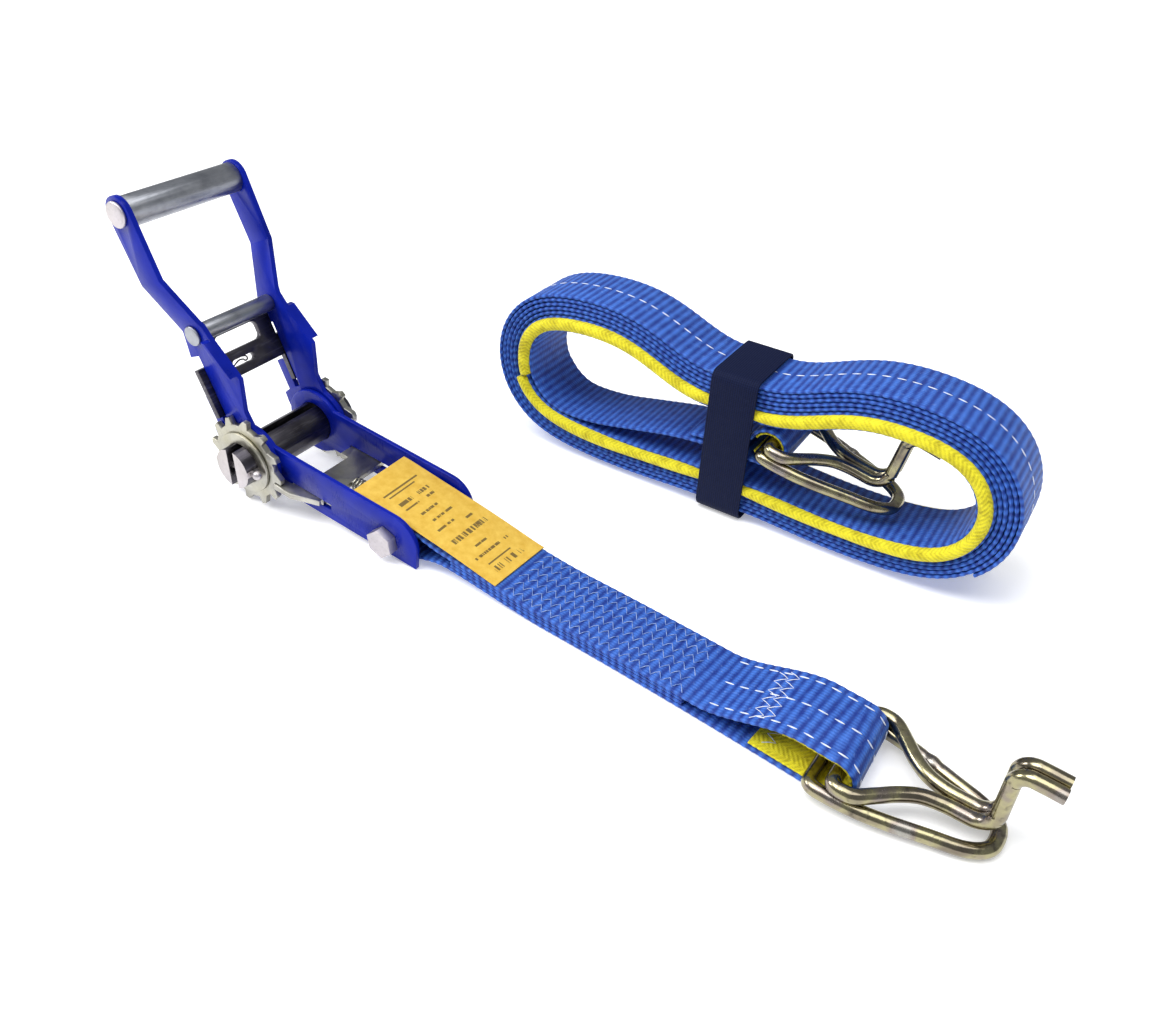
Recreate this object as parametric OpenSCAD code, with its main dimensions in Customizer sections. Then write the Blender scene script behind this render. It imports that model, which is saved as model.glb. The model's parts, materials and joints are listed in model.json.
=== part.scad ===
// Ratchet tie down: a blue hand ratchet on a short sewn strap with a hook and keeper,
// and the long strap wound into a hank with its own hook and keeper. Millimetres, +Z up.
// The ratchet is built about its winding spindle: local +X runs along the frame,
// +Y along the spindle. The whole ratchet leans by frame_tilt, resting on its wheels
// and on the far end of its frame.

/* [Webbing] */
// width of the webbing
web_w = 35; // [30:0.5:40]
// thickness of one ply
ply_t = 1.9; // [1.6:0.1:2.1]
// turns in the hank
hank_turns = 7; // [5:1:7]
// length of the hank
hank_len = 278; // [240:1:300]
// height of the hank's two lobes
hank_h = 96; // [90:1:110]
// how far the elastic band pinches the top of the hank
pinch = 18; // [8:1:18]
// width of the elastic band
band_w = 24; // [18:1:30]

/* [Frame] */
// distance between the frame plates
gap = 38; // [37:0.5:40]
// thickness of the frame and handle plates
plate_t = 2.5; // [2:0.1:2.7]
// height of the frame arms
arm_h = 24; // [22:0.5:26]
// spindle to the far end of the frame
frame_len = 103; // [100:1:110]
// lean of the ratchet on the ground, degrees
frame_tilt = 6.5; // [5:0.5:8]

/* [Handle] */
// angle between frame and handle as it lies
handle_ang = 119.5; // [119:0.5:120]
// spindle to grip
grip_u = 123.8; // [115:0.5:135]
// spindle to middle bar
bar_u = 64; // [62:0.5:66]
// sideways flare of each arm
flare = 9; // [6:0.5:12]
// grip tube radius
grip_r = 7; // [6:0.25:8]

/* [Wheels] */
// radius over the teeth
wheel_r = 23.4; // [23:0.1:23.6]
// radius at the tooth roots
root_r = 19.6; // [19.4:0.1:19.8]
// winding spindle radius
spool_r = 10.45; // [10:0.05:10.6]
// slot in the winding spindle
slot_w = 4.6; // [3:0.1:5]

/* [Hooks] */
// wire radius of hooks and keepers
wire_r = 3; // [2.6:0.1:3.1]
// rise of the double hook
hook_rise = 32; // [26:1:36]

/* [Hidden] */
$fn = 48;
cx = 164.2;
cy = 50.5;
teeth = 12;
tooth_a0 = 22.8;
run_fit = 0.05;
y_frame = gap / 2;
y_handle = y_frame + plate_t + 0.3;
y_wheel = y_handle + plate_t + 0.3;
wheel_t = 3;
y_washer = y_wheel + wheel_t + 0.2;
washer_t = 1.5;
spindle_y = 36;
spool_z = frame_len * sin(frame_tilt) + arm_h / 2 * cos(frame_tilt);
bolt_x = 84.6;
bolt_z = -4;
sleeve_r = 8;
pawl_z = -4.7;
pawl_t = 3;
pawl_tip = 19.44;
seat_x = 60;
drive_w = 6;
drive_tip = 23.3;
blue = [0.06, 0.16, 0.62];
steel = [0.7, 0.7, 0.72];
dark = [0.24, 0.24, 0.27];
web_blue = [0.2, 0.42, 0.82];
yellow = [0.92, 0.87, 0.2];
bolt_wx = bolt_x * cos(frame_tilt) + bolt_z * sin(frame_tilt);
bolt_wz = spool_z - bolt_x * sin(frame_tilt) + bolt_z * cos(frame_tilt);
ra = sleeve_r + 0.25 + ply_t / 2;
re = 9.6;
end_x = 308;
end_z = re + ply_t / 2;

// ---------- helpers ----------
module place() { translate([-cx, -cy, 0]) children(); }
module ratchet() { place() translate([0, 0, spool_z]) rotate([0, frame_tilt, 0]) children(); }
module handle() { ratchet() rotate([0, -handle_ang, 0]) children(); }
module slab(y0, t) { translate([0, y0 + t, 0]) rotate([90, 0, 0]) linear_extrude(height = t) children(); }
module ybar(x, z, r, y0, y1) {
    translate([x, y0, z]) rotate([-90, 0, 0]) cylinder(r = r, h = y1 - y0);
}
module ytube(x, z, r, bore, y0, y1) {
    translate([x, y0, z]) rotate([-90, 0, 0]) difference() {
        cylinder(r = r, h = y1 - y0);
        translate([0, 0, -1]) cylinder(r = bore, h = y1 - y0 + 2);
    }
}
module block(x0, x1, y0, y1, z0, z1) { translate([x0, y0, z0]) cube([x1 - x0, y1 - y0, z1 - z0]); }
module both() { children(); mirror([0, 1, 0]) children(); }
module rod(a, b, r) {
    d = b - a;
    l = norm(d);
    translate(a) rotate([0, acos(d[2] / l), atan2(d[1], d[0])]) cylinder(r = r, h = l);
}
// round wire swept along a path, k sides, turning as little as it can
module tube(p, r, k = 10) {
    n = len(p);
    v = [for (i = 0, q = [0, 0, 1]; i < n; q = i < n - 1 ? across(q, tangent(p, i + 1, false)) : q, i = i + 1)
        i == 0 ? across(q, tangent(p, 0, false)) : q];
    pts = [for (i = [0:n - 1]) let (t = tangent(p, i, false), b = cross(t, v[i])) for (j = [0:k - 1])
        p[i] + r * (cos(360 * j / k) * v[i] + sin(360 * j / k) * b)];
    sides = [for (i = [0:n - 2]) for (j = [0:k - 1]) let (a = k * i + j, b = k * i + (j + 1) % k)
        each [[a, a + k, b + k], [a, b + k, b]]];
    caps = [[for (j = [0:k - 1]) j], [for (j = [0:k - 1]) k * n - 1 - j]];
    polyhedron(points = pts, faces = concat(sides, caps), convexity = 8);
}
// the same for a closed ring that lies in the XY plane
module tube_loop(p, r, k = 10) {
    n = len(p);
    pts = [for (i = [0:n - 1]) let (t = tangent(p, i, true), b = cross(t, [0, 0, 1])) for (j = [0:k - 1])
        p[i] + r * (cos(360 * j / k) * [0, 0, 1] + sin(360 * j / k) * b)];
    sides = [for (i = [0:n - 1]) for (j = [0:k - 1]) let (a = k * i + j, b = k * i + (j + 1) % k,
        c = k * ((i + 1) % n) + (j + 1) % k, d = k * ((i + 1) % n) + j)
        each [[a, d, c], [a, c, b]]];
    polyhedron(points = pts, faces = sides, convexity = 8);
}
function across(q, t) = unit(q - (q * t) * t);
function unit(v) = v / norm(v);
function ss(a, b, x) = let (t = min(1, max(0, (x - a) / (b - a)))) t * t * (3 - 2 * t);
function mix(a, b, t) = a + (b - a) * t;
function arc(c, r, a0, a1, n) = [for (i = [0:n]) let (a = a0 + (a1 - a0) * i / n)
    [c[0] + r * cos(a), c[1] + r * sin(a)]];
function lift3(p, y) = [for (q = p) [q[0], y, q[1]]];
function tangent(p, i, closed) = let (n = len(p))
    closed ? unit(p[(i + 1) % n] - p[(i + n - 1) % n])
           : unit(p[min(n - 1, i + 1)] - p[max(0, i - 1)]);
function cr(p, i, t) = let (a = p[max(0, i - 1)], b = p[i], c = p[i + 1], d = p[min(len(p) - 1, i + 2)])
    0.5 * (2 * b + (c - a) * t + (2 * a - 5 * b + 4 * c - d) * t * t + (3 * b - a - 3 * c + d) * t * t * t);
function smooth(p, n) = [for (i = [0:len(p) - 2]) for (k = [0:n - 1]) cr(p, i, k / n)];
// four corners of a flat ribbon at each station, counter-clockwise seen from ahead
function corners(c, t, w, h) = let (s = [0, 1, 0], nn = unit(cross(t, s)))
    [c + s * w / 2 + nn * h / 2, c - s * w / 2 + nn * h / 2,
     c - s * w / 2 - nn * h / 2, c + s * w / 2 - nn * h / 2];
module ribbon(p, w, h, closed = false) {
    n = len(p);
    pts = [for (i = [0:n - 1]) each corners(p[i], tangent(p, i, closed), w, h)];
    last = closed ? n - 1 : n - 2;
    sides = [for (i = [0:last]) for (j = [0:3]) let (a = 4 * i + j, b = 4 * i + (j + 1) % 4,
        c = 4 * ((i + 1) % n) + (j + 1) % 4, d = 4 * ((i + 1) % n) + j)
        each [[a, d, c], [a, c, b]]];
    caps = closed ? [] : [[0, 1, 2, 3], [4 * n - 1, 4 * n - 2, 4 * n - 3, 4 * n - 4]];
    polyhedron(points = pts, faces = concat(sides, caps), convexity = 10);
}
// flat tube: the ribbon above with a flat hole right through it
module flat_tube(p, w, h, wi, hi) {
    n = len(p);
    pts = [for (i = [0:n - 1]) let (t = tangent(p, i, false))
        each concat(corners(p[i], t, w, h), corners(p[i], t, wi, hi))];
    sides = [for (i = [0:n - 2]) for (j = [0:3]) let (a = 8 * i + j, b = 8 * i + (j + 1) % 4,
        c = 8 * (i + 1) + (j + 1) % 4, d = 8 * (i + 1) + j)
        each [[a, d, c], [a, c, b], [a + 4, c + 4, d + 4], [a + 4, b + 4, c + 4]]];
    e = 8 * (n - 1);
    caps = [for (j = [0:3]) let (k = (j + 1) % 4)
        each [[j, k, k + 4], [j, k + 4, j + 4], [e + j, e + k + 4, e + k], [e + j, e + j + 4, e + k + 4]]];
    polyhedron(points = pts, faces = concat(sides, caps), convexity = 10);
}

// ---------- frame ----------
module frame_outline() {
    h = arm_h / 2;
    polygon(concat([[0, -h], [frame_len, -h]], arc([frame_len - 14, h - 14], 14, 0, 90, 12), [[0, h]]));
}
module frame_plate() {
    difference() {
        union() {
            slab(y_frame, plate_t) frame_outline();
            ybar(0, 0, 17.4, y_frame, y_frame + plate_t);
        }
        ybar(0, 0, spool_r + run_fit, y_frame - 1, y_frame + plate_t + 1);
        ybar(bolt_x, bolt_z, 5.05, y_frame - 1, y_frame + plate_t + 1);
        block(24.4, 50, y_frame - 1, y_frame + plate_t + 1,
            pawl_z - pawl_t / 2 - 0.2, pawl_z + pawl_t / 2 + 0.2);
    }
}
module frame_plate_right() { color(blue) ratchet() frame_plate(); }
module frame_plate_left() { color(blue) ratchet() mirror([0, 1, 0]) frame_plate(); }
module spring_seat() {
    color(dark) ratchet() difference() {
        block(seat_x, seat_x + 2.5, -y_frame, y_frame, -arm_h / 2 + 1, 1.5);
        block(seat_x - 1, seat_x + 4, -2.1, 2.1, pawl_z - 1.9, pawl_z + 1.9);
        for (y = [-11, 11]) translate([seat_x - 1, y, pawl_z]) rotate([0, 90, 0]) cylinder(r = 2.2, h = 5);
    }
}
module anchor_bolt() {
    color(steel) ratchet() union() {
        ybar(bolt_x, bolt_z, 5, -y_frame - plate_t - 0.05, y_frame + plate_t + 8.4);
        translate([bolt_x, -y_frame - plate_t - 0.05, bolt_z]) rotate([90, 15, 0])
            cylinder(r = 7.5, h = 5.2, $fn = 6);
    }
}
module anchor_nut() {
    color(steel) ratchet() translate([bolt_x, y_frame + plate_t + 0.05, bolt_z]) rotate([-90, 0, 0])
        difference() {
            cylinder(r = 7.5, h = 6, $fn = 6);
            translate([0, 0, -1]) cylinder(r = 5.02, h = 8);
        }
}
module anchor_sleeve() {
    color(steel) ratchet() ytube(bolt_x, bolt_z, sleeve_r, 5.2, -y_frame + 0.1, y_frame - 0.1);
}
module frame_pawl() {
    z0 = pawl_z - pawl_t / 2;
    color(steel) ratchet() union() {
        difference() {
            block(25, 45, -y_frame - plate_t, y_frame + plate_t, z0, z0 + pawl_t);
            block(24, 30, -11, 11, z0 - 1, z0 + pawl_t + 1);
        }
        both() translate([0, 0, z0]) linear_extrude(height = pawl_t) polygon([
            [pawl_tip, y_wheel - 0.6], [pawl_tip, y_wheel + wheel_t + 0.9],
            [30, y_wheel + wheel_t + 0.9], [44, y_handle + 1.4], [44, y_frame + plate_t - 0.2],
            [26, y_frame + plate_t - 0.2], [26, y_handle + 0.2], [pawl_tip, y_handle + 0.2]]);
        block(44.5, 64.5, -1.7, 1.7, z0, z0 + pawl_t);
    }
}
// coil of round wire about the X axis from x0 to x1
module coil_x(x0, x1, r, wr, turns, n) {
    m = turns * n;
    k = 6;
    pts = [for (i = [0:m]) let (a = 360 * i / n, x = x0 + (x1 - x0) * i / m) for (j = [0:k - 1])
        let (b = 360 * j / k) [x + wr * sin(b), (r + wr * cos(b)) * cos(a), (r + wr * cos(b)) * sin(a)]];
    sides = [for (i = [0:m - 1]) for (j = [0:k - 1]) let (a = k * i + j, b = k * i + (j + 1) % k)
        each [[a, a + k, b + k], [a, b + k, b]]];
    caps = [[for (j = [0:k - 1]) j], [for (j = [0:k - 1]) k * m + k - 1 - j]];
    polyhedron(points = pts, faces = concat(sides, caps), convexity = 8);
}
module frame_pawl_spring() {
    color(steel) ratchet() translate([0, 0, pawl_z]) coil_x(45.8, 59.2, 3.2, 0.5, 7, 16);
}

// ---------- handle ----------
function side_outline() = concat(
    [[0, -18.4], [9, -16.1], [14, -12.1], [24, -11.6], [33, -15.8], [40, -19], [60, -10.5], [70, -7.6], [92, -7]],
    [[grip_u, -8]], arc([grip_u, 0], 8, -75, 75, 10), [[grip_u, 8]],
    [[92, 7.6], [66, 7.6], [54, 10.6], [54, 3.9], [34, 3.9], [34, 13.4], [18, 13.4],
     [16.5, 18], [12, 18.4], [0, 18.4]]);
module bent_strip() {
    y0 = y_handle;
    y1 = y_handle + plate_t;
    translate([0, 0, -30]) linear_extrude(height = 60) polygon([
        [-25, y0], [67.5, y0], [92.5, y0 + flare], [145, y0 + flare],
        [145, y1 + flare], [92, y1 + flare], [67, y1], [-25, y1]]);
}
module handle_plate() {
    difference() {
        union() {
            intersection() {
                slab(y_handle - 1, plate_t + flare + 2) polygon(side_outline());
                bent_strip();
            }
            ybar(0, 0, 18.4, y_handle, y_handle + plate_t);
            slab(y_handle + 0.5, plate_t + 3.2) polygon([[42, -18.15], [60, -10.5], [61, -8.2], [42.8, -16]]);
        }
        ybar(0, 0, spool_r + run_fit, y_handle - 1, y_handle + plate_t + 1);
        ybar(bar_u, 0, 2.85, y_handle - 1, y_handle + plate_t + 6);
        ybar(grip_u, 0, 4.05, y_handle, y_handle + plate_t + flare + 1);
        block(18.9, 35, y_handle - 1, y_handle + plate_t + 1, drive_w - 1.9, drive_w + 1.9);
    }
}
module handle_plate_right() { color(blue) handle() handle_plate(); }
module handle_plate_left() { color(blue) handle() mirror([0, 1, 0]) handle_plate(); }
module grip_tube() {
    color(steel) handle() ytube(grip_u, 0, grip_r, grip_r - 1.5, -y_handle - flare + 0.05, y_handle + flare - 0.05);
}
module grip_rivet() {
    y = y_handle + plate_t + flare + 0.05;
    color(steel) handle() union() {
        ybar(grip_u, 0, 4, -y, y);
        ybar(grip_u, 0, 6, -y - 1.8, -y);
        ybar(grip_u, 0, 6, y, y + 1.8);
    }
}
module middle_bar() {
    y = y_handle + plate_t + 0.05;
    color(steel) handle() union() {
        ybar(bar_u, 0, 4.2, -y_handle + 0.05, y_handle - 0.05);
        ybar(bar_u, 0, 2.8, -y, y);
        ybar(bar_u, 0, 4.8, -y - 1.6, -y);
        ybar(bar_u, 0, 4.8, y, y + 1.6);
    }
}
module drive_pawl() {
    y = y_handle - 0.3;
    z0 = drive_w - 1.5;
    color(dark) handle() union() {
        difference() {
            block(37, 66.5, -y, y, z0, z0 + 3);
            block(49.5, 58.5, -10, 10, z0 - 1, z0 + 4);
            block(52.5, 55.5, -13, 13, z0 - 1, z0 + 4);
            for (u = [52.5, 55.5]) for (v = [-10, 10]) translate([u, v, z0 - 1]) cylinder(r = 3, h = 5);
            block(41.5, 45, -7, 3, z0 - 1, z0 + 4);
            translate([43.25, -7, z0 - 1]) cylinder(r = 1.75, h = 5);
            translate([43.25, 3, z0 - 1]) cylinder(r = 1.75, h = 5);
        }
        both() block(drive_tip, 48, y - 0.2, y_wheel + wheel_t + 0.1, z0, z0 + 3);
    }
}
// small coil behind the side strip of the drive pawl, one end held against the handle
module drive_pawl_spring() {
    color(steel) handle() translate([0, -17, drive_w + 4.4]) coil_x(50, 66, 2.2, 0.45, 9, 16);
}

// ---------- winding spindle and wheels ----------
module half_spindle(side) {
    intersection() {
        ybar(0, 0, spool_r, -spindle_y, spindle_y);
        rotate([0, -frame_tilt, 0]) block(side > 0 ? slot_w / 2 : -20, side > 0 ? 20 : -slot_w / 2, -50, 50, -20, 20);
    }
}
module pin_axis() { rotate([0, -frame_tilt, 0]) children(); }
module pin_cuts() {
    for (y = [-1, 1]) pin_axis() translate([-20, y * 32.6, 0]) rotate([0, 90, 0]) cylinder(r = 1.65, h = 40);
}
module spindle_front() { color(dark) ratchet() difference() { half_spindle(1); pin_cuts(); } }
module spindle_back() { color(dark) ratchet() difference() { half_spindle(-1); pin_cuts(); } }
function tooth_pts() = [for (i = [0:teeth - 1]) let (a = tooth_a0 + 360 / teeth * i) each [
    [root_r * cos(a), root_r * sin(a)], [wheel_r * cos(a + 1), wheel_r * sin(a + 1)],
    [wheel_r * cos(a + 8), wheel_r * sin(a + 8)], [root_r * cos(a + 17), root_r * sin(a + 17)],
    [root_r * cos(a + 23.5), root_r * sin(a + 23.5)]]];
module wheel() {
    difference() {
        slab(y_wheel, wheel_t) polygon(tooth_pts());
        ybar(0, 0, spool_r + run_fit, y_wheel - 1, y_wheel + wheel_t + 1);
    }
}
module wheel_right() { color(steel) ratchet() wheel(); }
module wheel_left() { color(steel) ratchet() mirror([0, 1, 0]) wheel(); }
module washers() {
    color(steel) ratchet() both() ytube(0, 0, 16, spool_r + run_fit, y_washer, y_washer + washer_t);
}
module cotter_pins() {
    color(steel) ratchet() for (y = [-1, 1]) pin_axis() translate([-13.5, y * 32.6, 0]) rotate([0, 90, 0]) union() {
        cylinder(r = 1.6, h = 27);
        translate([0, 0, 27]) sphere(r = 2.4);
    }
}

// ---------- short strap ----------
function mid(x) = mix(bolt_wz, ply_t / 2 + 3, ss(98, 175, x));
function half_h(x) = mix(ra, 3, ss(84, 116, x));
function drift(x) = x < 110 ? 0 : -16 * pow((x - 110) / 200, 1.5);
function top_z(x) = mid(x) + half_h(x) + (2 * re - 6) * ss(248, 296, x);
function bot_z(x) = mid(x) - half_h(x);
function steps(a, b, n) = [for (i = [0:n]) a + (b - a) * i / n];
function top_side() = [for (x = steps(bolt_wx, end_x, 34)) [x, drift(x), top_z(x)]];
function bottom_side() = [for (x = steps(end_x, bolt_wx, 34)) [x, drift(x), bot_z(x)]];
function far_arc() = [for (i = [1:11]) let (a = 90 - 15 * i)
    [end_x + re * cos(a), drift(end_x), end_z + re * sin(a)]];
function near_arc() = [for (i = [1:11]) let (a = 270 - 15 * i)
    [bolt_wx + ra * cos(a), 0, bolt_wz + ra * sin(a)]];
module short_strap() {
    color(web_blue) place() ribbon(concat(top_side(), far_arc(), bottom_side(), near_arc()), web_w, ply_t, true);
}
module short_strap_plies() {
    color(web_blue) place() for (k = [-1, 1])
        ribbon([for (x = steps(119, 246, 20)) [x, drift(x), mid(x) + k * 1.02]], web_w - 0.6, ply_t - 0.02);
}
function label_z(x) = max(top_z(x) + ply_t / 2 + 0.45, 27 - (x - 62) * 0.2);
module rating_label() {
    color([0.9, 0.72, 0.25]) place() ribbon([for (x = steps(62, 146, 14)) [x, drift(x), label_z(x)]],
        web_w + 0.4, 0.7);
}
module short_strap_pad() {
    r = re - ply_t / 2 - 0.9;
    low = [for (x = steps(276, end_x, 6)) [x, drift(x), end_z - r]];
    turn = [for (i = [1:11]) let (a = -90 + 15 * i) [end_x + r * cos(a), drift(end_x), end_z + r * sin(a)]];
    high = [for (x = steps(end_x, 288, 5)) [x, drift(x), top_z(x) - (re - r)]];
    color(yellow) place() ribbon(concat(low, turn, high), web_w - 2, 1.1);
}

// ---------- hook and keeper, built about their base bar ----------
// x runs from the bar towards the hook, the wires lie about y = 0
// and sink by b between the bar and the crook
function hook_path(w, g, b) = concat(
    smooth([[0, w, 0], [0.9, w + 1.7, 0], [4, w + 2.6, 0], [9, w + 1.6, -0.1 * b], [15, 15.6, 0.2 - 0.35 * b],
        [21, 9.8, 0.5 - 0.65 * b], [28, 5.2, 0.9 - 0.9 * b], [36, g + 0.2, 1 - b], [44, g, 1 - b]], 3),
    [for (i = [0:5]) [45 + 8.5 * sin(18 * i), g, 1 - b + 8.5 * (1 - cos(18 * i))]],
    [for (i = [0:5]) [53 + 5.5 * (1 - cos(18 * i)), g, hook_rise - b - 5.5 + 5.5 * sin(18 * i)]],
    [[69, g, hook_rise - b - 0.4]]);
module hook_shape(b) {
    p = hook_path(19.4, wire_r + 0.15, b);
    q = [for (i = [len(p) - 1:-1:0]) [p[i][0], -p[i][1], p[i][2]]];
    tube(concat(q, p), wire_r);
}
function keeper_half(w, n) = [[0, w, 0], [0.8, w + 2, 0], [4.6, w + 3, 0], [18, w + 2.2, 0],
    [30, w - 0.2, 0], [44, w - 4, 0],
    [56, n, 0], [63, n - 5, 0]];
module keeper_shape() {
    h = keeper_half(18.8, 11.5);
    back = [for (i = [len(h) - 1:-1:0]) [h[i][0], -h[i][1], h[i][2]]];
    tube_loop(smooth(concat(h, [[64.6, 0, 0]], back), 4), wire_r);
}
hook_o = [310.6, drift(end_x), 12.7];
hook_sink = 2.6;
hook_dip = 1.2;
keeper_o = [302.4, drift(end_x), 6.9];
keeper_dip = 3.2;
hank_dip = 12;
module hook() { color(dark) place() translate(hook_o) rotate([0, hook_dip, -2]) hook_shape(hook_sink); }
module keeper() {
    color(dark) place() translate(keeper_o) rotate([0, keeper_dip, -2]) keeper_shape();
}

// ---------- hank ----------
hank_x = 194;
hank_y = 120.5;
hank_pitch = 2.25;
function flat_run(c) = let (k = 4.2 * c) k / sqrt(1 + k * k) * sqrt(1 + 17.64) / 4.2;
function lobe(x) = exp(-pow(max(0, abs(x - 1) - 11) / 37, 2));
function outline(a) = let (r = hank_h / 2, x = (hank_len / 2 - r) * flat_run(cos(a)) + r * cos(a),
    s = sin(a)) [x, s * r * (s > 0 ? 1 - pinch / r * lobe(x) : 1 - 3 / r * lobe(x))];
function inward(a) = let (t = outline(a + 0.5) - outline(a - 0.5), u = unit([t[0], t[1]])) [-u[1], u[0]];
function turn_at(a, d) = let (p = outline(a), n = inward(a))
    [hank_x + p[0] + n[0] * d, hank_y, hank_h / 2 + p[1] + n[1] * d];
// the webbing winds in anticlockwise from its free end at the lower right
// stations lie at even steps of b; warp() spreads them along the flat sides
function warp(b) = b + 25.2 * sin(2 * b);
b_out = -21;
b_step = 4.5;
b_last = b_out + 360 * (hank_turns - 1);
a_out = warp(b_out);
sleeve_gap = 1.15;
function wind(a) = ply_t / 2 + hank_pitch * max(0, (a - a_out)) / 360;
b_sleeve0 = b_last - 360 + 47 * b_step;
b_sleeve1 = b_last - 360 + 126 * b_step;
b_end = b_last + 128 * b_step;
a_sleeve0 = warp(b_sleeve0);
function wound(a) = wind(a) + sleeve_gap * (ss(a_sleeve0 - 50, a_sleeve0 - 6, a)
    + ss(a_sleeve0 + 300, a_sleeve0 + 345, a) + ss(a_sleeve0 + 650, a_sleeve0 + 700, a));
function coil_path(b0, b1) = [for (k = [0:round((b1 - b0) / b_step)]) let (a = warp(b0 + b_step * k))
    turn_at(a, wound(a))];
loop_x = 215;
loop_z = 46;
loop_r = 9.4;
loop_c = [loop_x, loop_z];
// last run of the webbing: off the coil at the lower left, along the inside, to its end loop
run_in = [[87.2, 28.9], [98, 24.6], [118, 25.2], [142, 30], [166, 34.8], [190, 37], [204, 36.9]];
run_back = [[198, 44.6], [188, 41], [174, 39.2]];
function last_run(p) = concat([for (i = [1:len(p) - 2]) for (k = [0:3]) cr(p, i, k / 4)],
    arc(loop_c, loop_r, -90, 165, 17), run_back);
module hank_webbing() {
    coil = coil_path(b_out, b_end);
    n = len(coil);
    joined = concat([for (q = [coil[n - 2], coil[n - 1]]) [q[0], q[2]]], run_in);
    color(web_blue) place() ribbon(concat([for (i = [0:n - 2]) coil[i]], lift3(last_run(joined), hank_y)),
        web_w, ply_t);
}
module hank_sleeve() {
    color(yellow) place() flat_tube(coil_path(b_sleeve0, b_sleeve1),
        web_w + 3, ply_t + 2.2, web_w + 0.6, ply_t + 0.5);
}
module hank_loop_pad() {
    r = loop_r - ply_t / 2 - 0.9;
    color(yellow) place() ribbon(lift3(arc(loop_c, r, -150, 150, 20), hank_y), web_w - 2, 1.1);
}
function band_ring(dy, lo, hi) = [[-dy, lo], [dy, lo], [dy, hi], [-dy, hi]];
module elastic_band() {
    t = 1.3;
    x0 = hank_x + 1 - band_w / 2;
    top = hank_h - pinch + 0.15;
    yo = web_w / 2 + 2.1;
    color([0.05, 0.08, 0.22]) place() translate([x0, hank_y, 0]) rotate([90, 0, 90])
        linear_extrude(height = band_w) difference() {
            polygon(band_ring(yo + t, 0, top + t));
            polygon(band_ring(yo, t, top));
        }
}
module hank_hook() {
    color(dark) place() translate([loop_x + 1.9, hank_y, loop_z + 2.7]) rotate([0, hank_dip, 0]) hook_shape(0);
}
module hank_keeper() {
    color(dark) place() translate([loop_x - 1.9, hank_y, loop_z - 2.7]) rotate([0, hank_dip, 0]) keeper_shape();
}

frame_plate_left();
frame_plate_right();
spring_seat();
anchor_bolt();
anchor_nut();
anchor_sleeve();
frame_pawl();
frame_pawl_spring();
handle_plate_left();
handle_plate_right();
grip_tube();
grip_rivet();
middle_bar();
drive_pawl();
drive_pawl_spring();
spindle_front();
spindle_back();
wheel_left();
wheel_right();
washers();
cotter_pins();
short_strap();
short_strap_plies();
rating_label();
short_strap_pad();
hook();
keeper();
hank_webbing();
hank_sleeve();
hank_loop_pad();
elastic_band();
hank_hook();
hank_keeper();
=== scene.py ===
"""Looks of a ratchet tie down: painted ratchet, ribbed webbing, wire hooks and banded hank."""
import json
import math

import bmesh
import bpy
import numpy as np
from bpy.props import FloatProperty, FloatVectorProperty, IntProperty, PointerProperty
from mathutils import Matrix, Vector


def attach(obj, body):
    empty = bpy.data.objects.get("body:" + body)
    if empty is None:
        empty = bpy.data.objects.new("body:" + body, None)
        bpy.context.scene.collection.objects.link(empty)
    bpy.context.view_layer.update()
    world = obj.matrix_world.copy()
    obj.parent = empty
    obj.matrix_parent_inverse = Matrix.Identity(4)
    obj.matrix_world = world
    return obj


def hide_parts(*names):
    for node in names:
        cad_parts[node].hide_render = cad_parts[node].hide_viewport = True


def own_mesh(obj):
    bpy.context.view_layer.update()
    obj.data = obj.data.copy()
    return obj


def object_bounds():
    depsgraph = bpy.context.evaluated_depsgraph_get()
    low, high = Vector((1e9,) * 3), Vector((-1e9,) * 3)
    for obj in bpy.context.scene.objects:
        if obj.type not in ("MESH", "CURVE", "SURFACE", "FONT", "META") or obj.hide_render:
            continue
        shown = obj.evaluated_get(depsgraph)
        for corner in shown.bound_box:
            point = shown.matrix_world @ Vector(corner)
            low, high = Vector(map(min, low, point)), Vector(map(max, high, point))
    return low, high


bl_info = {
    "name": "Ratchet tie down",
    "version": (1, 0, 0),
    "blender": (4, 5, 0),
    "location": "3D View > Sidebar > Tie down",
    "description": "Dresses the ratchet, its short strap and the banded hank with their finishes",
    "category": "Object",
}

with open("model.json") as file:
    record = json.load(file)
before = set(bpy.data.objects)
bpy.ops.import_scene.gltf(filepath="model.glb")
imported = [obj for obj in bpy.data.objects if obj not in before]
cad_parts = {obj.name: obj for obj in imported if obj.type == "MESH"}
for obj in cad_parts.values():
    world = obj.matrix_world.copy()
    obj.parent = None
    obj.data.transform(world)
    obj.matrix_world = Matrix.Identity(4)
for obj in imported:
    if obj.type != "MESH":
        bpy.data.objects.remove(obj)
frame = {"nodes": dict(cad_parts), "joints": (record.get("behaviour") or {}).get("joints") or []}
CAD_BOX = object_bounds()
JOINTS = {j["name"]: j for j in frame["joints"]}
SPINDLE = Vector(JOINTS["handle_swing"]["pos_m"])
MM = 0.001
UP = np.array([0.0, 0.0, 1.0])
ACROSS = np.array([0.0, 1.0, 0.0])


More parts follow.
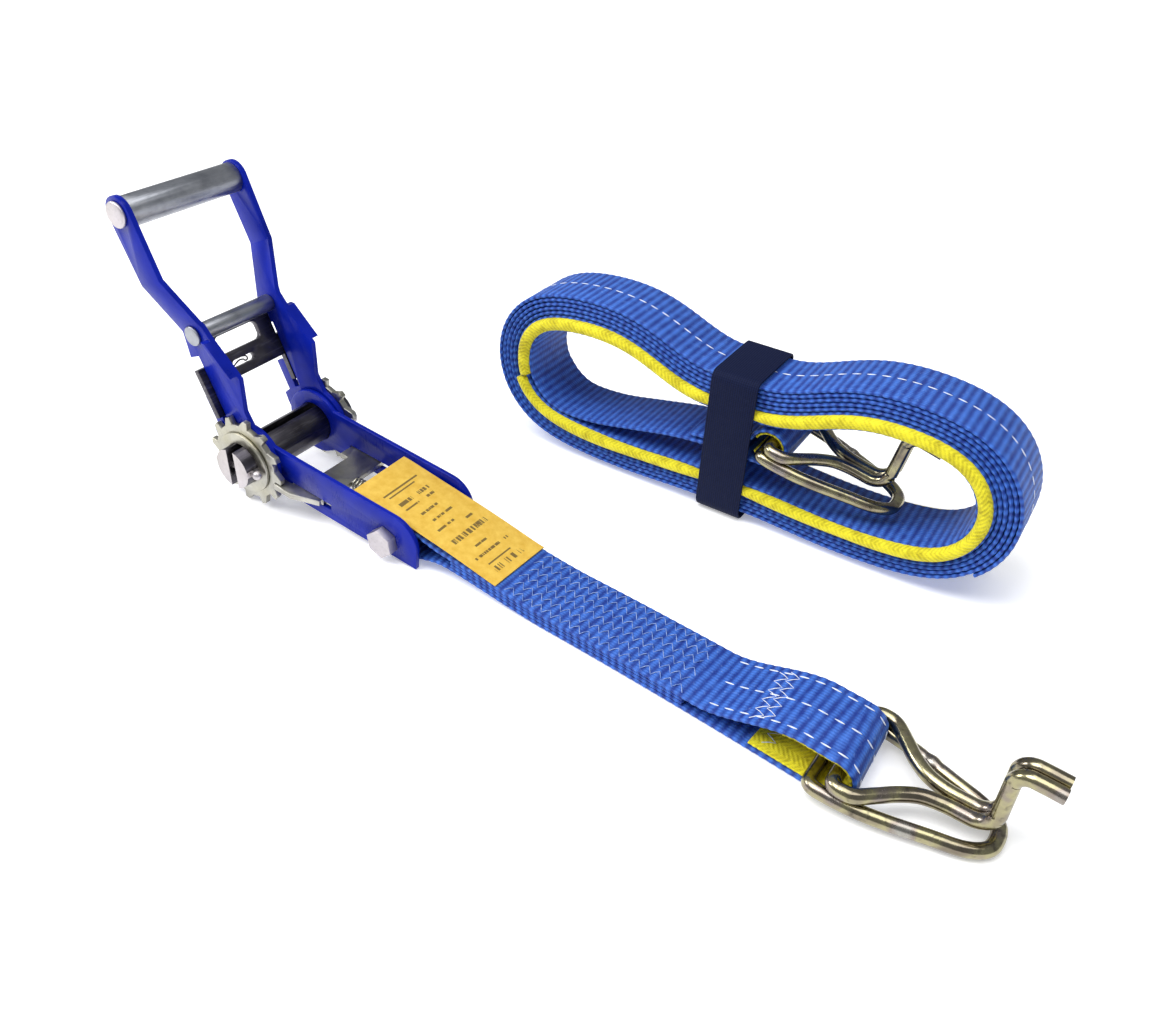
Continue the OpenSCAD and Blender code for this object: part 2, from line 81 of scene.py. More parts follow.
# ---------------------------------------------------------------- sizes and colours
class TieDownWebbing(bpy.types.PropertyGroup):
    """Sizes of the woven webbing."""
    width: FloatProperty(name="Width", description="Width of the webbing", default=0.035, unit="LENGTH")
    ply: FloatProperty(name="Ply", description="Thickness of one ply over its ribs", default=0.0019,
                       unit="LENGTH")
    rib_pitch: FloatProperty(name="Rib pitch", description="From one cross rib to the next", default=0.0040,
                             unit="LENGTH")
    rib_rise: FloatProperty(name="Rib rise", description="How far a rib stands proud", default=0.00020,
                            unit="LENGTH")
    # Deep blue is painted shade: the colour laid in the grooves between the ribs, and in random darker
    # patches.
    painted_shade_and_patch_blue: FloatVectorProperty(name="Deep blue", description="Colour between the ribs", subtype="COLOR",
                              default=(0.006, 0.030, 0.235))
    # Light blue is painted light: the colour laid on the crowns of the raised yarn and ribs.
    light: FloatVectorProperty(name="Light blue", description="Colour of the raised yarn", subtype="COLOR",
                               default=(0.048, 0.165, 0.62))
    yellow: FloatVectorProperty(name="Sleeve yellow", description="Wear cloth", subtype="COLOR",
                                default=(0.80, 0.71, 0.022))


class TieDownMetal(bpy.types.PropertyGroup):
    """Edges and colours of the metal parts."""
    ease: FloatProperty(name="Eased edge", description="Rounding of pressed edges", default=0.00045,
                        unit="LENGTH")
    wire: FloatProperty(name="Wire radius", description="Radius of hook and keeper wire", default=0.003,
                        unit="LENGTH")
    paint: FloatVectorProperty(name="Paint", description="Powder coat", subtype="COLOR",
                               default=(0.0008, 0.0085, 0.235))
    sides: IntProperty(name="Wire sides", description="Facets round a wire", default=24, min=12, max=48)


class TieDownStitch(bpy.types.PropertyGroup):
    """Thread and stitch sizes."""
    thread: FloatProperty(name="Thread radius", description="Radius of the sewing thread", default=0.00022,
                          unit="LENGTH")
    zigzag: FloatProperty(name="Zigzag pitch", description="Length of one zigzag", default=0.0052,
                          unit="LENGTH")
    tracer: FloatProperty(name="Tracer pitch", description="From one tracer dash to the next", default=0.0068,
                          unit="LENGTH")


class TieDownStage(bpy.types.PropertyGroup):
    """Floor and light."""
    floor: FloatVectorProperty(name="Floor", description="Colour of the floor", subtype="COLOR",
                               default=(0.93, 0.93, 0.93))
    key: FloatProperty(name="Key light", description="Strength of the main light", default=1.75)


# ---------------------------------------------------------------- small tools
def row(points):
    """Points in millimetres from the foot of the spindle's axis, moved into the row frame in metres."""
    return np.asarray(points, float) * MM + np.array([SPINDLE.x, SPINDLE.y, 0.0])


def ease_step(a, b, x):
    """Smooth step from 0 at a to 1 at b."""
    t = np.clip((np.asarray(x, float) - a) / (b - a), 0, 1)
    return t * t * (3 - 2 * t)


def unit(v):
    """Rows of v at length 1."""
    return v / np.linalg.norm(v, axis=-1, keepdims=True)


def through(points, steps):
    """Curve through the points, with that many steps between two of them."""
    p = np.asarray(points, float)
    out = []
    for i in range(len(p) - 1):
        a, b, c, d = p[max(0, i - 1)], p[i], p[i + 1], p[min(len(p) - 1, i + 2)]
        for t in np.arange(steps) / steps:
            out.append(0.5 * (2 * b + (c - a) * t + (2 * a - 5 * b + 4 * c - d) * t * t
                              + (3 * b - a - 3 * c + d) * t ** 3))
    out.append(p[-1])
    return np.array(out)


def arc(centre, radius, start, end, steps):
    """Points of an arc in the XZ plane, angles in degrees."""
    a = np.radians(np.linspace(start, end, steps + 1))
    return np.stack([centre[0] + radius * np.cos(a), centre[1] + radius * np.sin(a)], 1)


def length_along(path):
    """Distance from the path's start to each point."""
    return np.concatenate([[0], np.cumsum(np.linalg.norm(np.diff(path, axis=0), axis=1))])


def spaced(path, step):
    """The same path with its points at even distances near step."""
    s = length_along(path)
    n = max(2, int(round(s[-1] / step)) + 1)
    t = np.linspace(0, s[-1], n)
    return np.stack([np.interp(t, s, path[:, k]) for k in range(path.shape[1])], 1)


def normals_of(path, side=ACROSS, closed=False):
    """Unit vectors square to the path and to side."""
    if closed:
        ahead = np.roll(path, -1, 0) - np.roll(path, 1, 0)
    else:
        ahead = np.gradient(path, axis=0)
    return unit(np.cross(unit(ahead), side))


def link(name, mesh):
    """New object for a mesh, in the scene."""
    obj = bpy.data.objects.new(name, mesh)
    bpy.context.scene.collection.objects.link(obj)
    return obj


def turned_outwards(mesh):
    """Turns a closed mesh's faces outwards."""
    bm = bmesh.new()
    bm.from_mesh(mesh)
    if bm.calc_volume(signed=True) < 0:
        bmesh.ops.reverse_faces(bm, faces=bm.faces)
    bm.to_mesh(mesh)
    bm.free()


def baked(obj):
    """Replaces an object's mesh by its modified one and drops the modifiers."""
    graph = bpy.context.evaluated_depsgraph_get()
    mesh = bpy.data.meshes.new_from_object(obj.evaluated_get(graph))
    obj.modifiers.clear()
    obj.data = mesh
    mesh.name = obj.name
    return obj


def settle(obj, body, slot, *nodes):
    """Puts a finished piece on its body and hides the CAD nodes it stands for; slot is not used."""
    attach(obj, body)
    if nodes:
        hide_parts(*nodes)
    return obj


# ---------------------------------------------------------------- node helpers
class Graph:
    """Adds nodes to a node tree and joins them."""

    def __init__(self, tree):
        self.tree = tree

    def add(self, kind, values=None, **settings):
        node = self.tree.nodes.new(kind)
        for key, value in settings.items():
            setattr(node, key, value)
        for key, value in (values or {}).items():
            self.put(node.inputs[key], value)
        return node

    def put(self, socket, value):
        if isinstance(value, bpy.types.NodeSocket):
            self.tree.links.new(value, socket)
        else:
            socket.default_value = value

    def math(self, operation, *values, clamp=False):
        kind = {"GeometryNodeTree": "ShaderNodeMath", "ShaderNodeTree": "ShaderNodeMath"}[self.tree.bl_idname]
        node = self.add(kind, operation=operation, use_clamp=clamp)
        for i, value in enumerate(values):
            self.put(node.inputs[i], value)
        return node.outputs[0]

    def noise(self, coords, scale, detail=3.0, rough=0.5):
        return self.add("ShaderNodeTexNoise", {"Vector": coords, "Scale": scale, "Detail": detail,
                                               "Roughness": rough}).outputs["Fac"]

    def stretched(self, coords, scale):
        return self.add("ShaderNodeMapping", {"Vector": coords, "Scale": scale}).outputs[0]

    def between(self, fac, a, b):
        node = self.add("ShaderNodeMix", data_type="RGBA")
        self.put(node.inputs[0], fac)
        for i, colour in ((6, a), (7, b)):
            self.put(node.inputs[i], colour if isinstance(colour, bpy.types.NodeSocket) else (*colour[:3], 1))
        return node.outputs[2]

    def ranged(self, value, low, high, to_low=0.0, to_high=1.0):
        node = self.add("ShaderNodeMapRange", clamp=True)
        for i, v in enumerate((value, low, high, to_low, to_high)):
            self.put(node.inputs[i], v)
        return node.outputs[0]


class Finish(Graph):
    """A material built round one Principled shader."""

    def __init__(self, name, **sockets):
        self.material = bpy.data.materials.new(name)
        self.material.use_nodes = True
        super().__init__(self.material.node_tree)
        self.shader = self.tree.nodes["Principled BSDF"]
        for key, value in sockets.items():
            self.shader.inputs[key.replace("_", " ")].default_value = value
        self.place = self.add("ShaderNodeTexCoord").outputs["Object"]

    def uv(self):
        """The piece's own UV map, as its two parts in millimetres."""
        node = self.add("ShaderNodeSeparateXYZ", {0: self.add("ShaderNodeUVMap", uv_map="UVMap").outputs[0]})
        return node.outputs[0], node.outputs[1]

    def colour(self, value):
        self.put(self.shader.inputs["Base Color"], value)

    def rough(self, value):
        self.put(self.shader.inputs["Roughness"], value)

    def bump(self, height, distance, strength=1.0):
        node = self.add("ShaderNodeBump", {"Height": height, "Distance": distance, "Strength": strength})
        self.put(self.shader.inputs["Normal"], node.outputs[0])


# ---------------------------------------------------------------- materials
def make_paint():
    """Gloss powder coat with faint orange peel and handling marks."""
    f = Finish("royal_blue_paint", Metallic=0.0, Coat_Weight=0.06, Coat_Roughness=0.12,
               Specular_IOR_Level=0.14)
    paint = tuple(bpy.context.scene.tiedown_metal.paint)
    drift_tone = f.noise(f.place, 45.0, 3.0)
    marks = f.noise(f.stretched(f.place, (900.0, 260.0, 260.0)), 1.0, 4.0, 0.7)
    base = f.between(f.ranged(drift_tone, 0.35, 0.7), paint, [c * 1.6 + 0.002 for c in paint])
    f.colour(f.between(f.ranged(marks, 0.66, 0.80, 0.0, 0.18), base, (0.06, 0.10, 0.42)))
    f.rough(f.ranged(f.math("ADD", drift_tone, f.math("MULTIPLY", marks, 0.4)), 0.3, 1.0, 0.20, 0.38))
    peel = f.math("ADD", f.noise(f.place, 700.0, 2.0), f.math("MULTIPLY", marks, 0.3))
    f.bump(peel, 0.00012, 0.35)
    return f.material


def make_zinc(name, low, high, tint, rough=0.24):
    """Bright zinc plate: cloudy grain, faint yellow and blue tints, fine rubbed scratches."""
    f = Finish(name, Metallic=1.0, Specular_IOR_Level=0.5)
    cloud = f.noise(f.place, 90.0, 5.0, 0.6)
    fine = f.noise(f.stretched(f.place, (1.0, 0.25, 1.0)), 900.0, 4.0, 0.7)
    base = f.between(f.ranged(cloud, 0.3, 0.7), low, high)
    bloom = f.noise(f.place, 40.0, 2.0)
    base = f.between(f.ranged(bloom, 0.45, 0.7, 0.0, 0.6), base, tint)
    f.colour(f.between(f.ranged(fine, 0.55, 0.8, 0.0, 0.35), base, [c * 0.55 for c in low]))
    f.rough(f.ranged(f.math("ADD", cloud, fine), 0.6, 1.4, rough, rough + 0.22))
    f.bump(fine, 0.00006, 0.3)
    return f.material


def make_wire():
    """Passivated zinc on drawn wire: brown, straw and grey bands along the wire."""
    f = Finish("passivated_wire", Metallic=1.0, Specular_IOR_Level=0.5)
    slow = f.noise(f.place, 55.0, 3.0, 0.55)
    ramp = f.add("ShaderNodeValToRGB", {"Fac": slow})
    stops = ramp.color_ramp.elements
    stops[0].position, stops[0].color = 0.30, (0.15, 0.12, 0.10, 1)
    stops[1].position, stops[1].color = 0.72, (0.34, 0.33, 0.30, 1)
    for at, colour in ((0.42, (0.24, 0.21, 0.15, 1)), (0.52, (0.36, 0.33, 0.19, 1)),
                       (0.60, (0.26, 0.22, 0.19, 1))):
        stop = stops.new(at)
        stop.color = colour
    fine = f.noise(f.place, 1400.0, 3.0, 0.7)
    pits = f.noise(f.place, 380.0, 2.0, 0.5)
    f.colour(f.between(f.ranged(pits, 0.58, 0.74, 0.0, 0.6), ramp.outputs[0], (0.07, 0.06, 0.05)))
    f.rough(f.ranged(f.math("ADD", slow, f.math("MULTIPLY", fine, 0.5)), 0.5, 1.0, 0.13, 0.30))
    f.bump(f.math("ADD", fine, pits), 0.00004, 0.35)
    return f.material


def make_dark_steel():
    """Dark oiled steel with pale rubbed streaks."""
    f = Finish("dark_oiled_steel", Metallic=1.0, Specular_IOR_Level=0.5)
    streak = f.noise(f.stretched(f.place, (1.0, 0.08, 1.0)), 700.0, 5.0, 0.65)
    cloud = f.noise(f.place, 70.0, 3.0)
    base = f.between(f.ranged(cloud, 0.3, 0.7), (0.050, 0.045, 0.055), (0.11, 0.105, 0.12))
    f.colour(f.between(f.ranged(streak, 0.52, 0.75, 0.0, 0.5), base, (0.30, 0.29, 0.30)))
    f.rough(f.ranged(f.math("ADD", streak, cloud), 0.6, 1.4, 0.24, 0.46))
    f.bump(streak, 0.00008, 0.35)
    return f.material


def make_webbing():
    """Ribbed polyester: raised yarns that cross over from rib to rib, with painted shade between the ribs,
    painted light on their crowns and paler flecks.
    """
    s = bpy.context.scene.tiedown_webbing
    f = Finish("blue_webbing", Metallic=0.0, Sheen_Weight=0.12, Sheen_Roughness=0.4, Specular_IOR_Level=0.3)
    f.shader.inputs["Sheen Tint"].default_value = (0.5, 0.7, 1.0, 1)
    u, v = f.uv()
    pitch = s.rib_pitch / MM
    rib = f.math("COSINE", f.math("MULTIPLY", v, 2 * math.pi / pitch))
    cross = f.math("MULTIPLY", f.math("SINE", f.math("MULTIPLY", u, 2 * math.pi / 1.5)),
                   f.math("COSINE", f.math("MULTIPLY", v, math.pi / pitch)))
    yarn = f.math("SINE", f.math("MULTIPLY", u, 2 * math.pi / 0.52))
    height = f.math("ADD", f.math("MULTIPLY", cross, 0.6), f.math("MULTIPLY", yarn, 0.22))
    fuzz = f.noise(f.place, 1500.0, 3.0, 0.7)
    height = f.math("ADD", height, f.math("MULTIPLY", fuzz, 0.5))
    patch = f.noise(f.place, 210.0, 3.0, 0.6)
    # Painted shade and light: low points between the ribs take the deep blue and rib crowns the light blue;
    # random patches also shift the tone.
    rib_shade_and_patch = f.math("ADD", f.math("MULTIPLY", rib, 0.46), f.math("MULTIPLY", height, 0.30))
    rib_shade_and_patch = f.math("ADD", rib_shade_and_patch, f.math("MULTIPLY", f.math("SUBTRACT", patch, 0.5), 1.3))
    base = f.between(f.ranged(rib_shade_and_patch, -0.45, 0.75), tuple(s.painted_shade_and_patch_blue), tuple(s.light))
    f.colour(f.between(f.ranged(f.noise(f.place, 620.0, 2.0), 0.64, 0.80, 0.0, 0.30),
                       base, (0.26, 0.42, 0.85)))
    f.rough(f.ranged(height, -1.0, 1.2, 0.62, 0.48))
    f.bump(height, 0.00016, 0.8)
    return f.material


def make_wear_cloth():
    """Yellow sleeve cloth with slanted ridges, painted shade between them and random darker grime."""
    s = bpy.context.scene.tiedown_webbing
    f = Finish("yellow_wear_cloth", Metallic=0.0, Sheen_Weight=0.08, Sheen_Roughness=0.5,
               Specular_IOR_Level=0.25)
    u, v = f.uv()
    slant = f.math("ABSOLUTE", f.math("SUBTRACT", f.math("FLOORED_MODULO", u, 9.0), 4.5))
    ridge = f.math("SINE", f.math("MULTIPLY", f.math("ADD", v, f.math("MULTIPLY", slant, 0.8)),
                                  2 * math.pi / 2.2))
    thread = f.math("SINE", f.math("MULTIPLY", u, 2 * math.pi / 0.8))
    fuzz = f.noise(f.place, 1200.0, 3.0, 0.7)
    height = f.math("ADD", ridge, f.math("ADD", f.math("MULTIPLY", thread, 0.3),
                                         f.math("MULTIPLY", fuzz, 0.7)))
    grime = f.noise(f.place, 160.0, 4.0, 0.65)
    # Painted shade and grime: the cloth is painted darker between the ridges by their height, and darker in
    # random noise patches.
    mix = f.math("ADD", f.math("MULTIPLY", height, 0.15),
                 f.math("MULTIPLY", f.math("SUBTRACT", grime, 0.5), 2.2))
    base = f.between(f.ranged(mix, -0.55, 0.25), (0.36, 0.29, 0.006), tuple(s.yellow))
    f.colour(base)
    f.rough(f.ranged(grime, 0.3, 0.7, 0.75, 0.6))
    f.bump(height, 0.00016, 0.7)
    return f.material


LABEL_ROWS = (
    # start and end along the label, start and end across it, how broken the print is
    (0.150, 0.162, 0.18, 0.84, 0.30), (0.178, 0.188, 0.30, 0.80, 0.34), (0.245, 0.272, 0.22, 0.44, 0.50),
    (0.245, 0.272, 0.56, 0.80, 0.50), (0.300, 0.318, 0.26, 0.40, 0.50), (0.300, 0.312, 0.55, 0.82, 0.45),
    (0.375, 0.392, 0.40, 0.72, 0.50), (0.450, 0.466, 0.32, 0.70, 0.48), (0.520, 0.536, 0.48, 0.80, 0.50),
    (0.560, 0.576, 0.20, 0.34, 0.50), (0.625, 0.662, 0.16, 0.84, 0.58), (0.735, 0.750, 0.44, 0.66, 0.45),
    (0.800, 0.818, 0.20, 0.84, 0.50), (0.872, 0.882, 0.34, 0.78, 0.30), (0.905, 0.945, 0.22, 0.80, 0.62),
)


def printed_bar(f, u, v, bar, speck):
    """1 inside one broken printed bar of the label, 0 outside it."""
    v0, v1, u0, u1, broken = bar
    inside = f.math("COMPARE", v, (v0 + v1) / 2, (v1 - v0) / 2)
    inside = f.math("MULTIPLY", inside, f.math("COMPARE", u, (u0 + u1) / 2, (u1 - u0) / 2))
    return f.math("MULTIPLY", inside, f.math("GREATER_THAN", speck, broken - 0.08))


def make_label(length, width):
    """Woven label cloth with rows of broken bars, no lettering."""
    f = Finish("label_cloth", Metallic=0.0, Sheen_Weight=0.1, Specular_IOR_Level=0.3)
    u, v = f.uv()
    along = f.math("DIVIDE", v, length)
    over = f.math("ADD", f.math("DIVIDE", u, width), 0.5)
    point = f.add("ShaderNodeCombineXYZ", {0: f.math("MULTIPLY", over, 34.0),
                                           1: f.math("MULTIPLY", along, 3.0)})
    speck = f.noise(point.outputs[0], 1.0, 1.0)
    ink = None
    for bar in LABEL_ROWS:
        mark = printed_bar(f, over, along, bar, speck)
        ink = mark if ink is None else f.math("MAXIMUM", ink, mark)
    weave = f.math("MULTIPLY", f.math("SINE", f.math("MULTIPLY", u, 2 * math.pi / 0.45)),
                   f.math("SINE", f.math("MULTIPLY", v, 2 * math.pi / 0.45)))
    tone = f.noise(f.place, 240.0, 4.0, 0.6)
    mix = f.math("ADD", f.math("MULTIPLY", weave, 0.12), tone)
    base = f.between(f.ranged(mix, 0.25, 0.75), (0.66, 0.38, 0.035), (0.82, 0.55, 0.09))
    f.colour(f.between(f.math("MULTIPLY", ink, 0.88), base, (0.10, 0.065, 0.02)))
    f.rough(f.ranged(tone, 0.3, 0.7, 0.72, 0.58))
    f.bump(weave, 0.00006, 0.6)
    return f.material


def make_elastic():
    """Navy elastic: fine lengthwise cords, with painted highlight on their crowns and painted shade in the
    grooves between them.
    """
    f = Finish("navy_elastic", Metallic=0.0, Sheen_Weight=0.0, Specular_IOR_Level=0.12)
    u, v = f.uv()
    cord = f.math("ABSOLUTE", f.math("SINE", f.math("MULTIPLY", u, math.pi / 1.1)))
    knit = f.math("SINE", f.math("MULTIPLY", v, 2 * math.pi / 0.9))
    fuzz = f.noise(f.place, 1500.0, 3.0, 0.7)
    height = f.math("ADD", cord, f.math("ADD", f.math("MULTIPLY", knit, 0.25), f.math("MULTIPLY", fuzz, 0.4)))
    # Painted light and shade: colour follows the height of cords and knit, plus random fuzz, with crowns
    # lighter and grooves darker.
    f.colour(f.between(f.ranged(height, 0.2, 1.5), (0.0018, 0.0035, 0.018), (0.0065, 0.012, 0.050)))
    f.rough(f.ranged(fuzz, 0.3, 0.7, 0.75, 0.6))
    f.bump(height, 0.00016, 0.7)
    return f.material


def make_thread(name, light, dark):
    """Twisted sewing thread."""
    f = Finish(name, Metallic=0.0, Sheen_Weight=0.2, Specular_IOR_Level=0.4)
    twist = f.noise(f.place, 2600.0, 2.0, 0.6)
    tone = f.noise(f.place, 420.0, 2.0, 0.6)
    f.colour(f.between(f.ranged(f.math("ADD", f.math("MULTIPLY", twist, 0.4), tone), 0.45, 0.9), dark, light))
    f.rough(f.ranged(twist, 0.3, 0.7, 0.6, 0.45))
    f.bump(twist, 0.00008, 0.6)
    return f.material


def make_floor():
    """Pale studio floor with a trace of unevenness."""
    f = Finish("studio_floor", Metallic=0.0, Specular_IOR_Level=0.2)
    c = tuple(bpy.context.scene.tiedown_stage.floor)
    f.colour(f.between(f.noise(f.place, 6.0, 2.0), c, [x * 0.995 for x in c]))
    f.rough(0.8)
    f.shader.inputs["Emission Color"].default_value = (1.0, 1.0, 1.0, 1)
    f.shader.inputs["Emission Strength"].default_value = 0.30
    return f.material


MAKERS = {
    "paint": make_paint,
    "zinc": lambda: make_zinc("bright_zinc", (0.30, 0.29, 0.26), (0.52, 0.51, 0.46), (0.44, 0.41, 0.27)),
    "pale_zinc": lambda: make_zinc("pale_zinc", (0.44, 0.41, 0.42), (0.62, 0.58, 0.60), (0.52, 0.48, 0.44),
                                   0.34),
    "grip": lambda: make_zinc("satin_tube", (0.24, 0.25, 0.28), (0.42, 0.43, 0.46), (0.34, 0.36, 0.40), 0.28),
    "dark": make_dark_steel,
    "wire": make_wire,
    "webbing": make_webbing,
    "wear": make_wear_cloth,
    "elastic": make_elastic,
    "white_thread": lambda: make_thread("white_thread", (0.86, 0.88, 0.92), (0.50, 0.58, 0.75)),
    "pale_thread": lambda: make_thread("pale_blue_thread", (0.34, 0.46, 0.76), (0.02, 0.09, 0.40)),
    "floor": make_floor,
}
FINISHES = {}


def finish(key):
    """The material of that name, made once."""
    if key not in FINISHES:
        FINISHES[key] = MAKERS[key]()
    return FINISHES[key]


# ---------------------------------------------------------------- geometry node trees
def new_tree(name, sockets):
    """An empty geometry tree with a Path input, the named inputs and one output."""
    tree = bpy.data.node_groups.new(name, "GeometryNodeTree")
    tree.interface.new_socket("Path", in_out="INPUT", socket_type="NodeSocketGeometry")
    for label, kind in sockets:
        tree.interface.new_socket(label, in_out="INPUT", socket_type=kind)
    tree.interface.new_socket("Geometry", in_out="OUTPUT", socket_type="NodeSocketGeometry")
    g = Graph(tree)
    return g, tree.nodes.new("NodeGroupInput").outputs


def close_tree(g, geometry, material):
    """Ends a tree in smooth shading, Realize Instances and Set Material."""
    real = g.add("GeometryNodeRealizeInstances", {"Geometry": geometry}).outputs[0]
    soft = g.add("GeometryNodeSetShadeSmooth", {"Geometry": real}).outputs[0]
    done = g.add("GeometryNodeSetMaterial", {"Geometry": soft, "Material": material}).outputs[0]
    out = g.tree.nodes.new("NodeGroupOutput")
    g.tree.links.new(done, out.inputs[0])
    return g.tree


def named(g, name, kind="FLOAT"):
    """Reads a named attribute of the path."""
    node = g.add("GeometryNodeInputNamedAttribute", data_type=kind)
    node.inputs["Name"].default_value = name
    return node.outputs["Attribute"]


def swept(g, curve, profile, scale=None):
    """Curve to Mesh with filled ends."""
    values = {"Curve": curve, "Profile Curve": profile, "Fill Caps": True}
    node = g.add("GeometryNodeCurveToMesh", values)
    if scale is not None and "Scale" in node.inputs:
        g.put(node.inputs["Scale"], scale)
    return node.outputs[0]


def wire_tree():
    """Round wire or thread along a path; the path's girth attribute swells or thins it."""
    g, inp = new_tree("Round wire", (("Radius", "NodeSocketFloat"), ("Sides", "NodeSocketInt"),
                                     ("Material", "NodeSocketMaterial")))
    curve = g.add("GeometryNodeMeshToCurve", {0: inp["Path"]}).outputs[0]
    girth = named(g, "girth")
    curve = g.add("GeometryNodeSetCurveRadius", {"Curve": curve, "Radius": girth}).outputs[0]
    ring = g.add("GeometryNodeCurvePrimitiveCircle", {"Resolution": inp["Sides"], "Radius": inp["Radius"]})
    return close_tree(g, swept(g, curve, ring.outputs[0], girth), inp["Material"])


def webbing_tree():
    """Webbing along a path: even stations, rounded edges, cross ribs and a map in millimetres."""
    g, inp = new_tree("Ribbed webbing", (
        ("Width", "NodeSocketFloat"), ("Thickness", "NodeSocketFloat"), ("Rib pitch", "NodeSocketFloat"),
        ("Rib rise", "NodeSocketFloat"), ("Stations per rib", "NodeSocketFloat"),
        ("Edge steps", "NodeSocketInt"),
        ("Material", "NodeSocketMaterial")))
    curve = g.add("GeometryNodeMeshToCurve", {0: inp["Path"]}).outputs[0]
    curve = g.add("GeometryNodeSetCurveNormal", {"Curve": curve}, mode="FREE")
    g.put(curve.inputs["Normal"], named(g, "up", "FLOAT_VECTOR"))
    step = g.math("DIVIDE", inp["Rib pitch"], inp["Stations per rib"])
    even = g.add("GeometryNodeResampleCurve", {"Curve": curve.outputs[0], "Length": step}, mode="LENGTH")
    along = g.add("GeometryNodeCaptureAttribute", {0: even.outputs[0]}, domain="POINT")
    along.capture_items.new("FLOAT", "along")
    g.put(along.inputs[1], g.add("GeometryNodeSplineParameter").outputs["Length"])
    base = g.math("SUBTRACT", inp["Thickness"], g.math("MULTIPLY", inp["Rib rise"], 2.0))
    flat = g.add("GeometryNodeCurvePrimitiveQuadrilateral", {"Width": base, "Height": inp["Width"]})
    soft = g.add("GeometryNodeFilletCurve", {"Curve": flat.outputs[0], "Limit Radius": True,
                                             "Radius": g.math("MULTIPLY", base, 0.49)}, mode="POLY")
    g.put(soft.inputs["Count"], inp["Edge steps"])
    over = g.add("GeometryNodeCaptureAttribute", {0: soft.outputs[0]}, domain="POINT")
    over.capture_items.new("FLOAT", "over")
    where = g.add("ShaderNodeSeparateXYZ", {0: g.add("GeometryNodeInputPosition").outputs[0]})
    g.put(over.inputs[1], where.outputs[1])
    body = swept(g, along.outputs[0], over.outputs[0])
    turn = g.math("MULTIPLY", g.math("DIVIDE", along.outputs[1], inp["Rib pitch"]), 2 * math.pi)
    swell = g.math("MULTIPLY_ADD", g.math("COSINE", turn), 0.5, 0.5)
    push = g.add("ShaderNodeVectorMath", {0: g.add("GeometryNodeInputNormal").outputs[0],
                                          "Scale": g.math("MULTIPLY", swell, inp["Rib rise"])},
                 operation="SCALE")
    moved = g.add("GeometryNodeSetPosition", {"Geometry": body, "Offset": push.outputs[0]}).outputs[0]
    chart = g.add("ShaderNodeCombineXYZ", {0: g.math("MULTIPLY", over.outputs[1], 1000.0),
                                           1: g.math("MULTIPLY", along.outputs[1], 1000.0)})
    store = g.add("GeometryNodeStoreNamedAttribute", {"Geometry": moved}, data_type="FLOAT2", domain="CORNER")
    store.inputs["Name"].default_value = "UVMap"
    g.put(store.inputs["Value"], chart.outputs[0])
    return close_tree(g, store.outputs[0], inp["Material"])


def dash_tree():
    """Flat stitches laid at even distances along a path, in line with it."""
    g, inp = new_tree("Tracer dashes", (("Pitch", "NodeSocketFloat"), ("Length", "NodeSocketFloat"),
                                        ("Width", "NodeSocketFloat"), ("Material", "NodeSocketMaterial")))
    curve = g.add("GeometryNodeMeshToCurve", {0: inp["Path"]}).outputs[0]
    spots = g.add("GeometryNodeCurveToPoints", {"Curve": curve, "Length": inp["Pitch"]}, mode="LENGTH")
    bead = g.add("GeometryNodeMeshUVSphere", {"Segments": 10, "Rings": 6, "Radius": 0.5}).outputs[0]
    lie = g.add("FunctionNodeAlignRotationToVector", {"Vector": spots.outputs["Tangent"]}, axis="X")
    g.put(lie.inputs["Factor"], 1.0)
    face = g.add("FunctionNodeAlignRotationToVector", {"Rotation": lie.outputs[0],
                                                       "Vector": named(g, "up", "FLOAT_VECTOR")}, axis="Z",
                 pivot_axis="X")
    size = g.add("ShaderNodeCombineXYZ", {0: inp["Length"], 1: inp["Width"],
                                          2: g.math("MULTIPLY", inp["Width"], 0.5)})
    put = g.add("GeometryNodeInstanceOnPoints", {"Points": spots.outputs[0], "Instance": bead,
                                                 "Rotation": face.outputs[0], "Scale": size.outputs[0]})
    return close_tree(g, put.outputs[0], inp["Material"])


TREES = {"wire": wire_tree, "webbing": webbing_tree, "dash": dash_tree}
BUILT = {}


def grown(name, kind, paths, values, closed=False):
    """Runs a tree on one or more paths, each (points, normals or None, girth or None), to a plain mesh."""
    points, edges, ups, girths = [], [], [], []
    for path, up, girth in paths:
        start = len(points)
        points += [tuple(p) for p in row(path)]
        edges += [(start + i, start + i + 1) for i in range(len(path) - 1)]
        if closed:
            edges.append((start + len(path) - 1, start))
        ups.append(np.tile(UP, (len(path), 1)) if up is None else up)
        girths.append(np.ones(len(path)) if girth is None else girth)
    mesh = bpy.data.meshes.new(name)
    mesh.from_pydata(points, edges, [])
    mesh.attributes.new("up", "FLOAT_VECTOR", "POINT").data.foreach_set("vector", np.concatenate(ups).ravel())
    mesh.attributes.new("girth", "FLOAT", "POINT").data.foreach_set("value", np.concatenate(girths))
    obj = link(name, mesh)
    if kind not in BUILT:
        BUILT[kind] = TREES[kind]()
    modifier = obj.modifiers.new("grow", "NODES")
    modifier.node_group = BUILT[kind]
    for item in BUILT[kind].interface.items_tree:
        if item.in_out == "INPUT" and item.name in values:
            modifier[item.identifier] = values[item.name]
    baked(obj)
    turned_outwards(obj.data)
    return obj


